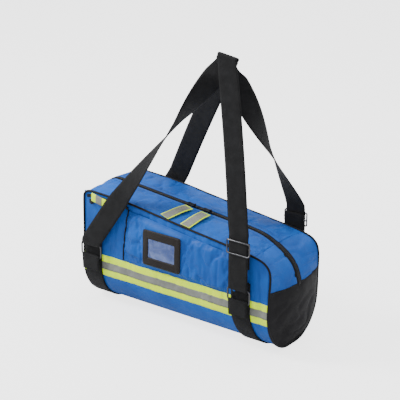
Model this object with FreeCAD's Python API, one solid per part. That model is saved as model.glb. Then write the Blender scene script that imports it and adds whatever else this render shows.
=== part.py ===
import FreeCAD, Part
import math
import os

# Oxygen cylinder in its soft carry bag: padded tube bag with a zipped top, two long shoulder straps,
# and inside it the strapped-in cylinder with its valve, regulator and gauge.
# Millimetres. +X runs along the bag towards its rounded end, -Y is the front with the pocket, +Z is up.
# The origin is on the floor under the middle of the bag.

V = FreeCAD.Vector
FAR = 400.0

# ---- bag: side view -----------------------------------------------------------------------------
SEAM_X = 258.0  # half length, centre to either end seam
BULGE_X = 274.0  # half length at the middle of the domed ends
FLOOR_Z = 4.2  # underside of the fabric, held up by the webbing bands
RIDGE_Z = 262.0  # top seam over x = 0
RIDGE_SLOPE = -0.0893
RIDGE_END_X = 140.0  # the straight part of the top seam ends here
CAP_Z = 149.0  # upper edge of the black end caps
# ---- bag: end view ------------------------------------------------------------------------------
BASE_HALF = 20.0
HALF_W = 97.0
WIDEST_Z = 95.0
WALL_LEAN = -0.0323  # the side walls lean in, per millimetre of height
CROWN_R = 385.0  # the top panels are slightly arched across the bag
# ---- bag: plies ---------------------------------------------------------------------------------
FABRIC = 3.0
FOAM = 6.0
PLY_GAP = 0.3
SPLIT = 0.4
CORD_R = 2.3
CORD_PLY = (4.2, 0.2)
# ---- lids and main zip --------------------------------------------------------------------------
LID_Y = 86.0
LID_X = (-234.0, 212.0)
CORD_X = (-232.0, 205.0)
ZIP_HALF = 14.0
COIL = (0.6, 3.4)  # distance of each coil's two edges from the middle plane
# ---- bands, webbing and rings ---------------------------------------------------------------------
BAND_Z = (78.0, 128.0)
SILVER_Z = (94.0, 112.0)
WEB = 50.0
WEB_THICK = 2.2
WEB_X = {"left": -228.0, "right": 188.0}
RING_Y = 107.0
RING_Z = (122.0, 152.0)  # centre lines of a ring's lower and upper bars
RING_HALF = 28.5
WIRE_R = 2.0
RUN_FIT = 0.06
# ---- shoulder straps ------------------------------------------------------------------------------
WRAP_GAP = 0.3
STRAP_OUT = RING_Y + WIRE_R + WEB_THICK / 2 + WRAP_GAP
STRAP_IN = RING_Y - WIRE_R - WEB_THICK / 2 - WRAP_GAP
BEND_Z = 280.0  # straps stay beside the bag up to here, then lean in over it
LEAN_Z = 184.0  # the left legs start to lean along the bag here
PLY_LAP = 12.0  # straight length above a ring's turn
FOLD_X, FOLD_Y, FOLD_Z = 76.0, 12.0, 602.0
GLIDE_Z = 249.0
GLIDE_TALL = 32.0
# ---- oxygen cylinder ------------------------------------------------------------------------------
CYL_R = 56.0
CYL_WALL = 6.0
CYL_Z = 76.0
FOOT_X, SHOULDER_X, NECK_X = 236.0, -104.0, -142.0
NECK_R = 19.0
STEM_R = 11.0
VALVE_X = (-186.0, -142.5)
VALVE_HALF = 13.0
YOKE_X = (-176.0, -158.0)
REG_X = -167.0
REG_R = 17.0
GAUGE_X, GAUGE_Z, GAUGE_R = -122.0, 150.0, 22.0

nodes = {}


# ---- helpers --------------------------------------------------------------------------------------
def keep(name, *shapes):
    """Files the solids of all the shapes under one node name."""
    solids = [solid for shape in shapes for solid in shape.Solids]
    nodes[name] = solids[0] if len(solids) == 1 else Part.makeCompound(solids)


def box(x, y, z):
    """A box from three (low, high) pairs."""
    return Part.makeBox(x[1] - x[0], y[1] - y[0], z[1] - z[0], V(x[0], y[0], z[0]))


def rod(start, end, radius):
    a, b = V(*start), V(*end)
    return Part.makeCylinder(radius, (b - a).Length, a, b - a)


def tube(start, end, radius, bore):
    return rod(start, end, radius).cut(rod(start, end, bore))


def arc(a, b, c):
    return Part.Arc(a, b, c).toShape()


def prism(points, y):
    """A polygon given in side view (x, z), extruded between two y."""
    outline = [V(px, y[0], pz) for px, pz in points]
    return Part.Face(Part.makePolygon(outline + outline[:1])).extrude(V(0, y[1] - y[0], 0))


def ridge_z(x):
    return RIDGE_Z + RIDGE_SLOPE * x


def on_ridge(shape, x):
    """Places a shape made about the origin on the top seam at x, turned to its slope."""
    placed = shape.copy()
    placed.rotate(V(0, 0, 0), V(0, 1, 0), -math.degrees(math.atan(RIDGE_SLOPE)))
    placed.translate(V(x, 0, ridge_z(x)))
    return placed


# ---- the bag's form -------------------------------------------------------------------------------
def side_outline():
    """Closed outline in side view, at y = 0."""
    floor_left, floor_right = V(-SEAM_X, 0, FLOOR_Z), V(SEAM_X, 0, FLOOR_Z)
    cap_top, shoulder = V(BULGE_X, 0, CAP_Z), V(236, 0, 215)
    ridge_right, ridge_left = V(RIDGE_END_X, 0, ridge_z(RIDGE_END_X)), V(-236, 0, ridge_z(-236))
    corner = V(-263, 0, 258)
    return Part.Wire([
        Part.makeLine(floor_left, floor_right),
        arc(floor_right, V(BULGE_X - 3, 0, 72), cap_top),
        arc(cap_top, V(262, 0, 187), shoulder),
        arc(shoulder, V(193, 0, 239), ridge_right),
        Part.makeLine(ridge_right, ridge_left),
        arc(ridge_left, V(-254, 0, 276), corner),
        arc(corner, V(-BULGE_X, 0, 130), floor_left),
    ])


def end_outline():
    """Closed outline in end view, at x = 0: flat foot, round belly, walls leaning in."""
    top = 330.0
    wall_top = HALF_W + WALL_LEAN * (top - WIDEST_Z)
    foot, belly, widest = (BASE_HALF, FLOOR_Z), (71.0, 31.0), (HALF_W, WIDEST_Z)
    right = arc(*(V(0, y, z) for y, z in (foot, belly, widest)))
    left = arc(*(V(0, -y, z) for y, z in (widest, belly, foot)))
    a, b = V(0, wall_top, top), V(0, -wall_top, top)
    return Part.Wire([
        Part.makeLine(V(0, -BASE_HALF, FLOOR_Z), V(0, BASE_HALF, FLOOR_Z)),
        right,
        Part.makeLine(V(0, HALF_W, WIDEST_Z), a),
        Part.makeLine(a, b),
        Part.makeLine(b, V(0, -HALF_W, WIDEST_Z)),
        left,
    ])


def plan_outline():
    """Closed outline seen from above, which rounds the ends."""
    corner_x, corner_y, wide, low = SEAM_X + 3.0, 101.0, 130.0, -20.0
    right_end = arc(V(corner_x, -corner_y, low), V(BULGE_X + 1, 0, low), V(corner_x, corner_y, low))
    left_end = arc(V(-corner_x, corner_y, low), V(-BULGE_X - 1, 0, low), V(-corner_x, -corner_y, low))
    front = Part.makePolygon([V(-corner_x, -corner_y, low), V(-corner_x, -wide, low),
                              V(corner_x, -wide, low), V(corner_x, -corner_y, low)])
    back = Part.makePolygon([V(corner_x, corner_y, low), V(corner_x, wide, low),
                             V(-corner_x, wide, low), V(-corner_x, corner_y, low)])
    return Part.Wire([*front.Edges, right_end, *back.Edges, left_end])


def grown(wire, offset):
    face = Part.Face(wire)
    return face if offset == 0 else Part.Face(face.makeOffset2D(offset, 2).Wires[0])


skins = {}


def skin(offset):
    """The bag's outer form as a solid, grown (+) or shrunk (-) by an offset."""
    if offset not in skins:
        side = grown(side_outline(), offset)
        side.translate(V(0, -FAR, 0))
        form = side.extrude(V(0, 2 * FAR, 0))
        end = grown(end_outline(), offset)
        end.translate(V(-FAR, 0, 0))
        form = form.common(end.extrude(V(2 * FAR, 0, 0)))
        form = form.common(grown(plan_outline(), offset).extrude(V(0, 0, FAR)))
        crown = rod((-FAR, 0, -CROWN_R), (FAR, 0, -CROWN_R), CROWN_R + offset)
        skins[offset] = form.common(on_ridge(crown, 0)).removeSplitter()
    return skins[offset]


def layer(outer, inner):
    """A ply of the bag between two offsets of its form."""
    return skin(outer).cut(skin(inner))


def wall_y(z, lift=0.0):
    """Distance of the leaning side wall from the middle plane."""
    return HALF_W + WALL_LEAN * (z - WIDEST_Z) + lift


EVERY = (-FAR, FAR)
FRONT = (-FAR, 0.0)


# ---- shell panels -----------------------------------------------------------------------------------
def build_panels():
    shell = layer(0.0, -FABRIC)
    opening = box(EVERY, (-LID_Y - SPLIT, LID_Y + SPLIT), (200.0, FAR))
    low_opening = box((150.0, FAR), (-LID_Y - SPLIT, LID_Y + SPLIT), (175.0, FAR))
    body = shell.common(box((-SEAM_X + SPLIT, SEAM_X - SPLIT), EVERY, (-10.0, FAR)))
    keep("body_shell", body.cut(opening).cut(low_opening))
    zip_slot = box(EVERY, (-ZIP_HALF - SPLIT, ZIP_HALF + SPLIT), (CAP_Z - 1.0, FAR))
    for side, sign, lid_end in (("left", -1, LID_X[0]), ("right", 1, LID_X[1])):
        end = shell.common(box(sorted((sign * (SEAM_X + SPLIT), sign * FAR)), EVERY, (-10.0, FAR)))
        keep(f"{side}_end_cap", end.common(box(EVERY, EVERY, (-10.0, CAP_Z - SPLIT))))
        upper = end.common(box(EVERY, EVERY, (CAP_Z + SPLIT, FAR)))
        gusset_x = sorted((lid_end + sign * 2 * SPLIT, sign * (SEAM_X + SPLIT)))
        gusset = shell.common(box(gusset_x, (-LID_Y, LID_Y), (175.2, FAR)))
        keep(f"{side}_end_panel", upper.fuse(gusset).cut(zip_slot).removeSplitter())
    keep("front_lid", shell.common(box(LID_X, (-LID_Y, -ZIP_HALF - SPLIT), (200.0, FAR))))
    keep("back_lid", shell.common(box(LID_X, (ZIP_HALF + SPLIT, LID_Y), (200.0, FAR))))


def build_main_zip():
    tape, coil = layer(-0.4, -1.8), layer(1.2, -1.9)
    end_left, end_right = (-FAR, LID_X[0] - 2 * SPLIT), (LID_X[1] + 2 * SPLIT, FAR)
    rows = {
        "front_zip": ((LID_X, -1),),
        "back_zip": ((LID_X, 1),),
        "end_zip": ((end_left, -1), (end_left, 1), (end_right, -1), (end_right, 1)),
    }
    for name, places in rows.items():
        tapes, coils = [], []
        for x, side in places:
            tape_y = sorted((side * ZIP_HALF, side * (COIL[1] + 0.2)))
            coil_y = sorted((side * COIL[0], side * COIL[1]))
            tapes.append(tape.common(box(x, tape_y, (CAP_Z + 1.0, FAR))))
            coils.append(coil.common(box(x, coil_y, (CAP_Z + 1.0, FAR))))
        keep(f"{name}_tape", *tapes)
        keep(f"{name}_coil", *coils)


def build_lining():
    inset = FABRIC + PLY_GAP
    foam = layer(-inset, -inset - FOAM)
    keep("foam_liner", foam.common(box(EVERY, EVERY, (-10.0, 190.0))))
    board_z = FLOOR_Z + inset + FOAM + 0.5
    keep("base_board", box((-225.0, 225.0), (-BASE_HALF, BASE_HALF), (board_z, board_z + 2.5)))


def build_bands():
    ply, silver = layer(1.1, 0.1), layer(1.7, 1.2)
    inside_seams = (-SEAM_X + 4.0, SEAM_X - 4.0)
    keep("hivis_bands", ply.common(box(inside_seams, EVERY, BAND_Z)))
    keep("reflective_strips", silver.common(box(inside_seams, EVERY, SILVER_Z)))


# ---- piping cords -----------------------------------------------------------------------------------
def top_edge(x, side):
    """The corner where a side wall meets the arched top, lifted clear for a cord."""
    edge_y = wall_y(ridge_z(x) - 11.0)
    sag = edge_y * edge_y / (2 * CROWN_R)
    return V(x, side * (edge_y + 1.6), ridge_z(x) - sag + 2.6)


def build_piping():
    cord_ply = layer(*CORD_PLY)
    zip_way = box(EVERY, (-84.0, 84.0), (CAP_Z, FAR))
    for name, sign in (("left", -1), ("right", 1)):
        at_seam = box(sorted((sign * (SEAM_X - 2.2), sign * (SEAM_X + 2.2))), EVERY, (-10.0, FAR))
        keep(f"{name}_end_piping", cord_ply.common(at_seam).cut(zip_way))
    over_shoulder = [(205.5, 227.0), (205.5, 245.0), (242.0, 222.0), (255.0, 205.0), (255.0, 186.0), (232.0, 211.0)]
    for name, side in (("front", -1), ("back", 1)):
        start, end = top_edge(CORD_X[0], side), top_edge(CORD_X[1], side)
        straight = Part.makeCylinder(CORD_R, (end - start).Length, start, end - start)
        shoulder = cord_ply.common(prism(over_shoulder, sorted((side * 89.0, side * FAR))))
        keep(f"{name}_edge_piping", straight, shoulder)


# ---- front pocket, pocket zip and card window -----------------------------------------------------
POCKET = ((-138.0, 131.0), (243.0, 131.0), (243.0, 196.0), (150.0, 222.0), (-124.0, 254.0))
BINDING = ((-146.0, 134.0), (-139.0, 134.0), (-125.0, 256.0), (-132.0, 256.0))
POCKET_OUT = 5.0
FRAME_X, FRAME_Z, FRAME_W, FRAME_H = -24.0, 184.0, 106.0, 84.0
HOLE_W, HOLE_H = 74.0, 44.0
POCKET_ZIP_Z = 252.0
POCKET_SLIDER_X = -234.0


def window_part(outer, inner, width, height):
    x = (FRAME_X - width / 2, FRAME_X + width / 2)
    z = (FRAME_Z - height / 2, FRAME_Z + height / 2)
    return layer(outer, inner).common(box(x, FRONT, z))


def build_pocket():
    keep("front_pocket", layer(POCKET_OUT, 0.2).common(prism(POCKET, FRONT)))
    keep("pocket_binding", layer(POCKET_OUT + 0.8, 0.2).common(prism(BINDING, FRONT)))
    card, frame = POCKET_OUT + 0.2, POCKET_OUT + 0.9
    keep("window_card", window_part(card + 0.4, card, FRAME_W - 16, FRAME_H - 16))
    hole = box((FRAME_X - HOLE_W / 2, FRAME_X + HOLE_W / 2), FRONT,
               (FRAME_Z - HOLE_H / 2, FRAME_Z + HOLE_H / 2))
    keep("window_frame", window_part(frame + 1.4, frame, FRAME_W, FRAME_H).cut(hole))
    keep("card_window", window_part(frame + 0.6, frame, HOLE_W - 0.6, HOLE_H - 0.6))
    tape_x = (-SEAM_X + 8.0, -147.0)
    ends = (POCKET_ZIP_Z - 7.0, POCKET_ZIP_Z + 7.0)
    tape = layer(1.2, 0.2).common(box(tape_x, FRONT, ends))
    teeth = (POCKET_ZIP_Z - 2.2, POCKET_ZIP_Z + 2.2)
    coil = layer(2.6, 1.0).common(box((tape_x[0] + 4, tape_x[1] - 4), FRONT, teeth))
    keep("pocket_zip", tape.fuse(coil).removeSplitter())


def build_pocket_slider():
    """Slider on the pocket zip, with a pin for its loop of high-visibility tape."""
    face = wall_y(POCKET_ZIP_Z)
    x, z = POCKET_SLIDER_X, POCKET_ZIP_Z
    plate = box((x - 6, x + 6), (-face - 4.4, -face - 3.1), (z - 5, z + 5))
    pin_x, pin_y = x + 2, -face - 8.0
    pin = rod((pin_x, pin_y, z - 5), (pin_x, pin_y, z + 5), 1.0)
    posts = [box((pin_x - 1, pin_x + 1), (pin_y, -face - 4.0), end) for end in ((z - 5, z - 4), (z + 4, z + 5))]
    keep("pocket_zip_slider", plate.fuse([pin] + posts).removeSplitter())
    eye = tube((pin_x, pin_y, z - 3.8), (pin_x, pin_y, z + 3.8), 2.0, 1.0 + RUN_FIT)
    bridge = box((pin_x + 1.6, pin_x + 6), (pin_y - 0.9, pin_y + 0.9), (z - 3.8, z + 3.8))
    loop = box((pin_x + 5, pin_x + 44), (pin_y - 1.6, pin_y + 1.6), (z - 11, z + 6))
    keep("pocket_puller_loop", eye.fuse([bridge, loop]).removeSplitter())


# ---- webbing and rings ------------------------------------------------------------------------------
def build_webbing():
    strip = layer(4.2, 2.0)
    low = RING_Z[0]
    for name, x in WEB_X.items():
        span = (x - WEB / 2, x + WEB / 2)
        piece = strip.common(box(span, EVERY, (-10.0, low)))
        for side in (-1, 1):
            loop = rod((span[0], side * RING_Y, low), (span[1], side * RING_Y, low), WIRE_R + WEB_THICK)
            tongue = sorted((side * wall_y(low, 2.1), side * RING_Y))
            piece = piece.fuse([loop, box(span, tongue, (low - WIRE_R - WEB_THICK, low))])
        for side in (-1, 1):
            bore = rod((span[0] - 1, side * RING_Y, low), (span[1] + 1, side * RING_Y, low), WIRE_R + RUN_FIT)
            piece = piece.cut(bore)
        keep(f"{name}_body_webbing", piece.removeSplitter())


def ring_shape(x, y):
    """Rectangular ring of round wire standing in a plane of constant y."""
    low, high = RING_Z
    a, b = x - RING_HALF, x + RING_HALF
    corners = [(a, y, low), (b, y, low), (b, y, high), (a, y, high)]
    bars = [rod(p, q, WIRE_R) for p, q in zip(corners, corners[1:] + corners[:1])]
    balls = [Part.makeSphere(WIRE_R, V(*p)) for p in corners]
    return bars[0].fuse(bars[1:] + balls).removeSplitter()


def build_rings():
    for name, side in (("front", -1), ("back", 1)):
        keep(f"{name}_rings", *(ring_shape(x, side * RING_Y) for x in WEB_X.values()))


# ---- shoulder straps --------------------------------------------------------------------------------
def ribbon(stations):
    """A strap through (centre, width direction, face normal) stations as one closed solid."""
    wires = []
    for centre, across, normal in stations:
        u = V(across).normalize()
        n = (normal - u * normal.dot(u)).normalize()
        u, n = u * (WEB / 2), n * (WEB_THICK / 2)
        corners = [centre - u - n, centre + u - n, centre + u + n, centre - u + n]
        wires.append(Part.makePolygon(corners + corners[:1]))
    return Part.makeLoft(wires, True, True)


def ring_turn(x, side):
    """The strap's end: up the inside, under the ring's upper bar, up the outside."""
    gap = WIRE_R + WRAP_GAP
    high = RING_Z[1]
    span = (x - WEB / 2, x + WEB / 2)
    turn = tube((span[0], side * RING_Y, high), (span[1], side * RING_Y, high), gap + WEB_THICK, gap)
    turn = turn.common(box(span, EVERY, (0.0, high)))
    plies = []
    outer_top = (BEND_Z if x > 0 else LEAN_Z) - PLY_LAP
    for middle, top in ((STRAP_IN, high + 20.0), (STRAP_OUT, outer_top)):
        across = sorted((side * (middle - WEB_THICK / 2), side * (middle + WEB_THICK / 2)))
        plies.append(box(span, across, (high, top)))
    return turn.fuse(plies)


def leg(x, side, twist):
    """A strap leg up to the fold, with a half turn if asked for; the left legs lean along the bag first."""
    top = V(FOLD_X, side * FOLD_Y, FOLD_Z)
    knee = V(x, side * STRAP_OUT, BEND_Z)
    width, outward = V(1, 0, 0), V(0, side, 0)
    stations = [(knee - V(0, 0, PLY_LAP), width, outward)]
    if x < 0:
        start = V(x, side * STRAP_OUT, LEAN_Z)
        knee.x = x + (FOLD_X - x) * (BEND_Z - LEAN_Z) / (FOLD_Z - LEAN_Z)
        slope = V(knee - start).normalize()
        stations = [(start - V(0, 0, PLY_LAP), width, outward)]
        leaning = V(slope.z, 0, -slope.x)
        stations.append((start, width + leaning, outward))
        stations.append((start + slope * 20.0, leaning, outward))
        width = leaning
    along = V(top - knee).normalize()
    face = V(0, along.z, -along.y).normalize() * side
    if face.y * side < 0:
        face = face * -1
    square = face.cross(along).normalize()
    if square.x < 0:
        square = square * -1
    stations.append((knee, width + square if x < 0 else width, outward + face if x < 0 else outward))
    shares = (0.12, 0.26, 0.36, 0.42, 0.48, 0.54, 0.6, 0.7, 0.85, 1.0)
    turns = (0, 0, 30, 65, 90, 115, 150, 180, 180, 180)
    for share, turn in zip(shares, turns):
        angle = math.radians(turn if twist else 0)
        across = square * math.cos(angle) + face * math.sin(angle)
        normal = face * math.cos(angle) - square * math.sin(angle)
        stations.append((knee + (top - knee) * share, across, normal))
    return ribbon(stations)


def build_straps():
    fold_half = WEB_THICK / 2 + 0.6
    lean = math.degrees(math.atan((STRAP_OUT - FOLD_Y) / (FOLD_Z - BEND_Z)))
    for name, side in (("front", -1), ("back", 1)):
        left_x, right_x = WEB_X["left"], WEB_X["right"]
        legs = [leg(left_x, side, side < 0), leg(right_x, side, side > 0)]
        fold = Part.makeBox(64.0, 2 * fold_half, 44.0, V(-32.0, -fold_half, -24.0))
        fold.rotate(V(0, 0, 0), V(1, 0, 0), side * lean)
        fold.translate(V(FOLD_X, side * FOLD_Y, FOLD_Z))
        strap = ring_turn(left_x, side).fuse([ring_turn(right_x, side), fold] + legs)
        keep(f"{name}_strap", strap)


def build_adjusters():
    """Three-bar adjusters: two bars behind the strap, the middle bar in front of it."""
    x, half, bar = WEB_X["right"], WEB / 2, 2.4
    near, far = STRAP_OUT - WEB_THICK / 2 - 0.25, STRAP_OUT + WEB_THICK / 2 + 0.25
    low, high = GLIDE_Z - GLIDE_TALL / 2, GLIDE_Z + GLIDE_TALL / 2
    across = (x - half - 2.0, x + half + 2.0)
    for name, side in (("front", -1), ("back", 1)):

        def deep(a, b):
            return sorted((side * a, side * b))

        cheeks = [box(cheek, deep(near - bar, far + bar), (low, high))
                  for cheek in ((x - half - 4.0, x - half - 0.5), (x + half + 0.5, x + half + 4.0))]
        bars = [box(across, deep(near - bar, near), (low, low + 5.0)),
                box(across, deep(near - bar, near), (high - 5.0, high)),
                box(across, deep(far, far + bar), (GLIDE_Z - 3.0, GLIDE_Z + 3.0))]
        keep(f"{name}_strap_adjuster", cheeks[0].fuse([cheeks[1]] + bars).removeSplitter())
        span = (x - half, x + half)
        tail = box(span, deep(STRAP_IN - 0.9, STRAP_IN + 1.1), (RING_Z[1] + 50.0, high))
        sewn_loop = box(span, deep(STRAP_IN, near - bar - 0.05), (high - 6.0, high))
        keep(f"{name}_strap_tail", tail.fuse(sewn_loop).removeSplitter())


# ---- main zip sliders and pullers ---------------------------------------------------------------------
SLIDER_X = {"left": -8.0, "right": 36.0}
PULL_TURN = {"left": 20.0, "right": -8.0}  # how far each tape points away from straight forward
TAB_LEN = 15.0
TAB_Y = -4.2
PIN_Z = 6.4
PULL_Z = (3.3, 5.3)
PULL_LEN = 70.0


def build_sliders():
    for name, x in SLIDER_X.items():
        top = box((-8.0, 8.0), (-7.0, 0.35), (1.5, 3.0))
        under = box((-8.0, 8.0), (-7.0, 0.35), (-3.6, -2.2))
        neck = box((2.0, 6.0), (-0.35, 0.35), (-3.0, 2.0))
        pin = rod((0.0, -7.0, PIN_Z), (0.0, 0.0, PIN_Z), 1.1)
        posts = [box((-1.1, 1.1), y, (2.5, PIN_Z)) for y in ((-7.0, -6.0), (-1.0, 0.0))]
        slider = top.fuse([under, neck, pin] + posts).removeSplitter()
        keep(f"{name}_zip_slider", on_ridge(slider, x))
        eye = tube((0.0, -5.8, PIN_Z), (0.0, -1.2, PIN_Z), 2.2, 1.1 + RUN_FIT)
        plate = box((-TAB_LEN, -1.9), (-5.8, -1.2), (PIN_Z - 0.7, PIN_Z + 0.7))
        end = rod((-TAB_LEN, TAB_Y, PIN_Z - 0.7), (-TAB_LEN, TAB_Y, PIN_Z + 0.7), 4.0)
        hole = rod((-TAB_LEN, TAB_Y, PIN_Z - 2), (-TAB_LEN, TAB_Y, PIN_Z + 2), 2.0 + RUN_FIT)
        keep(f"{name}_pull_tab", on_ridge(eye.fuse([plate, end]).cut(hole), x))
        outline = [V(px, py, PULL_Z[0]) for px, py in
                   ((-4, 2.2), (4, 2.2), (12.5, -12), (12.5, -PULL_LEN), (-12.5, -PULL_LEN), (-12.5, -12))]
        tape = Part.Face(Part.makePolygon(outline + outline[:1])).extrude(V(0, 0, PULL_Z[1] - PULL_Z[0]))
        stud = rod((0, 0, PULL_Z[0] + 0.5), (0, 0, PIN_Z + 1.2), 2.0)
        head = rod((0, 0, PIN_Z + 1.0), (0, 0, PIN_Z + 2.0), 3.4)
        tape = tape.fuse([stud, head]).removeSplitter()
        tape.rotate(V(0, 0, 0), V(0, 0, 1), -PULL_TURN[name])
        tape.translate(V(-TAB_LEN, TAB_Y, 0))
        keep(f"{name}_puller_tape", on_ridge(tape, x))


# ---- oxygen cylinder, valve and regulator -------------------------------------------------------------
def turned(outline):
    """Revolves an (x, radius) outline about the cylinder's axis."""
    points = [V(px, 0, CYL_Z + r) for px, r in outline]
    face = Part.Face(Part.makePolygon(points + points[:1]))
    return face.revolve(V(0, 0, CYL_Z), V(1, 0, 0), 360)


def shoulder(radius, start_x, neck_r, steps=8):
    """Points of a rounded shoulder from the full radius down to the neck."""
    reach = start_x - NECK_X - 10.0
    angles = [math.radians(90.0 * i / steps) for i in range(steps + 1)]
    return [(start_x - reach * math.sin(a), neck_r + (radius - neck_r) * math.cos(a)) for a in angles]


def build_cylinder():
    outer = [(NECK_X, STEM_R), (NECK_X, NECK_R)]
    outer += shoulder(CYL_R, SHOULDER_X, NECK_R)[::-1]
    outer += [(FOOT_X - 12.0, CYL_R), (FOOT_X - 3.0, CYL_R - 4.0), (FOOT_X, CYL_R - 14.0), (FOOT_X, 0.0)]
    inner = [(FOOT_X - 10.0, 0.0), (FOOT_X - 10.0, CYL_R - 16.0), (FOOT_X - 18.0, CYL_R - CYL_WALL)]
    inner += shoulder(CYL_R - CYL_WALL, SHOULDER_X + 2.0, STEM_R)
    keep("cylinder_shell", turned(outer + inner))
    post = box(VALVE_X, (-VALVE_HALF, VALVE_HALF), (CYL_Z - VALVE_HALF, CYL_Z + VALVE_HALF))
    stem = rod((VALVE_X[1] - 1, 0, CYL_Z), (NECK_X + 24.0, 0, CYL_Z), STEM_R)
    gland = rod((VALVE_X[0] - 7.0, 0, CYL_Z), (VALVE_X[0] + 1.0, 0, CYL_Z), 9.0)
    bore = rod((VALVE_X[0] - 8.0, 0, CYL_Z), (VALVE_X[0] + 12.0, 0, CYL_Z), 4.0 + RUN_FIT)
    keep("valve_body", post.fuse([stem, gland]).cut(bore).removeSplitter())
    wheel_x = VALVE_X[0] - 8.0
    wheel = rod((wheel_x - 11.0, 0, CYL_Z), (wheel_x, 0, CYL_Z), 22.0)
    for i in range(8):
        a = math.radians(45.0 * i)
        y, z = 25.0 * math.cos(a), CYL_Z + 25.0 * math.sin(a)
        wheel = wheel.cut(rod((wheel_x - 12.0, y, z), (wheel_x + 1.0, y, z), 6.0))
    spindle = rod((wheel_x - 2.0, 0, CYL_Z), (VALVE_X[0] + 10.0, 0, CYL_Z), 4.0)
    keep("valve_handwheel", wheel.fuse(spindle).removeSplitter())


def build_regulator():
    seal_z = (CYL_Z + VALVE_HALF + 0.05, CYL_Z + VALVE_HALF + 1.9)
    keep("yoke_seal", tube((REG_X, 0, seal_z[0]), (REG_X, 0, seal_z[1]), 6.0, 3.0))
    side_y = VALVE_HALF + 1.0
    outer = box(YOKE_X, (-side_y - 7.0, side_y + 7.0), (CYL_Z - 34.0, CYL_Z + 30.0))
    inner = box((YOKE_X[0] - 1, YOKE_X[1] + 1), (-side_y, side_y), (CYL_Z - 26.0, CYL_Z + 22.0))
    inlet = rod((REG_X, 0, seal_z[1] + 0.05), (REG_X, 0, CYL_Z + 31.0), 8.0)
    head = rod((REG_X, 0, CYL_Z + 30.1), (REG_X, 0, GAUGE_Z + 16.0), REG_R)
    barb = rod((REG_X - REG_R + 2, 0, GAUGE_Z - 14.0), (REG_X - REG_R - 20, 0, GAUGE_Z - 14.0), 4.0)
    stub = rod((REG_X + REG_R - 2, 0, GAUGE_Z), (GAUGE_X - GAUGE_R - 0.1, 0, GAUGE_Z), 5.0)
    knob_bore = rod((REG_X, 0, GAUGE_Z + 6.0), (REG_X, 0, GAUGE_Z + 17.0), 3.0 + RUN_FIT)
    keep("regulator_body", head.fuse([inlet, barb, stub]).cut(knob_bore).removeSplitter())
    inlet_hole = rod((REG_X, 0, CYL_Z), (REG_X, 0, CYL_Z + 40.0), 8.05)
    screw_hole = rod((REG_X, 0, CYL_Z - 36.0), (REG_X, 0, CYL_Z - 20.0), 4.0 + RUN_FIT)
    keep("regulator_yoke", outer.cut(inner).cut(inlet_hole).cut(screw_hole))
    screw = rod((REG_X, 0, CYL_Z - 49.0), (REG_X, 0, CYL_Z - VALVE_HALF - 0.2), 4.0)
    handle = rod((REG_X, -20.0, CYL_Z - 44.0), (REG_X, 20.0, CYL_Z - 44.0), 3.0)
    keep("yoke_screw", screw.fuse(handle).removeSplitter())
    knob = rod((REG_X, 0, GAUGE_Z + 16.5), (REG_X, 0, GAUGE_Z + 34.0), 18.0)
    shaft = rod((REG_X, 0, GAUGE_Z + 8.0), (REG_X, 0, GAUGE_Z + 17.0), 3.0)
    keep("flow_knob", knob.fuse(shaft).removeSplitter())


def build_gauge():
    def disc(front, back, radius):
        return rod((GAUGE_X, front, GAUGE_Z), (GAUGE_X, back, GAUGE_Z), radius)

    cup = disc(-8.0, 8.0, GAUGE_R).cut(disc(-9.0, 2.0, GAUGE_R - 2.0))
    keep("gauge_case", cup.fuse(disc(-3.0, 3.0, 0.8)).removeSplitter())
    keep("gauge_dial", disc(1.0, 1.9, GAUGE_R - 2.1).cut(disc(0.0, 3.0, 1.2)))
    hub = disc(-2.4, -1.2, 2.4).cut(disc(-4.0, 4.0, 0.8 + RUN_FIT))
    needle = hub.fuse(box((GAUGE_X - 0.7, GAUGE_X + 0.7), (-2.2, -1.4), (GAUGE_Z + 2.0, GAUGE_Z + 15.0)))
    needle.rotate(V(GAUGE_X, 0, GAUGE_Z), V(0, 1, 0), -130)
    keep("gauge_needle", needle)
    keep("gauge_lens", disc(-6.6, -5.0, GAUGE_R - 2.1))


def build_restraints():
    board_top = FLOOR_Z + FABRIC + PLY_GAP + FOAM + 3.0
    straps, pads = [], []
    for x in (-58.0, 160.0):
        a, b = x - 20.0, x + 20.0
        straps.append(tube((a + 3, 0, CYL_Z), (b - 3, 0, CYL_Z), CYL_R + 2.3, CYL_R + 0.15))
        pad = box((a, b), (-26.0, 26.0), (board_top + 0.15, CYL_Z - 30.0))
        pads.append(pad.cut(rod((a - 1, 0, CYL_Z), (b + 1, 0, CYL_Z), CYL_R + 2.6)))
    keep("restraint_straps", *straps)
    keep("cradle_pads", *pads)


def main():
    for build in (build_panels, build_main_zip, build_lining, build_bands, build_piping, build_pocket,
                  build_pocket_slider, build_webbing, build_rings, build_straps, build_adjusters, build_sliders,
                  build_cylinder, build_regulator, build_gauge, build_restraints):
        build()
    os.makedirs("parts", exist_ok=True)
    for name, shape in nodes.items():
        shape.exportStep(f"parts/{name}.step")


main()
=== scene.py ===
"""Looks of the oxygen cylinder's carry bag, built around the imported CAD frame. Metres, row frame."""

import math

import bmesh
import bpy
from mathutils import Matrix, Vector, noise


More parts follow.
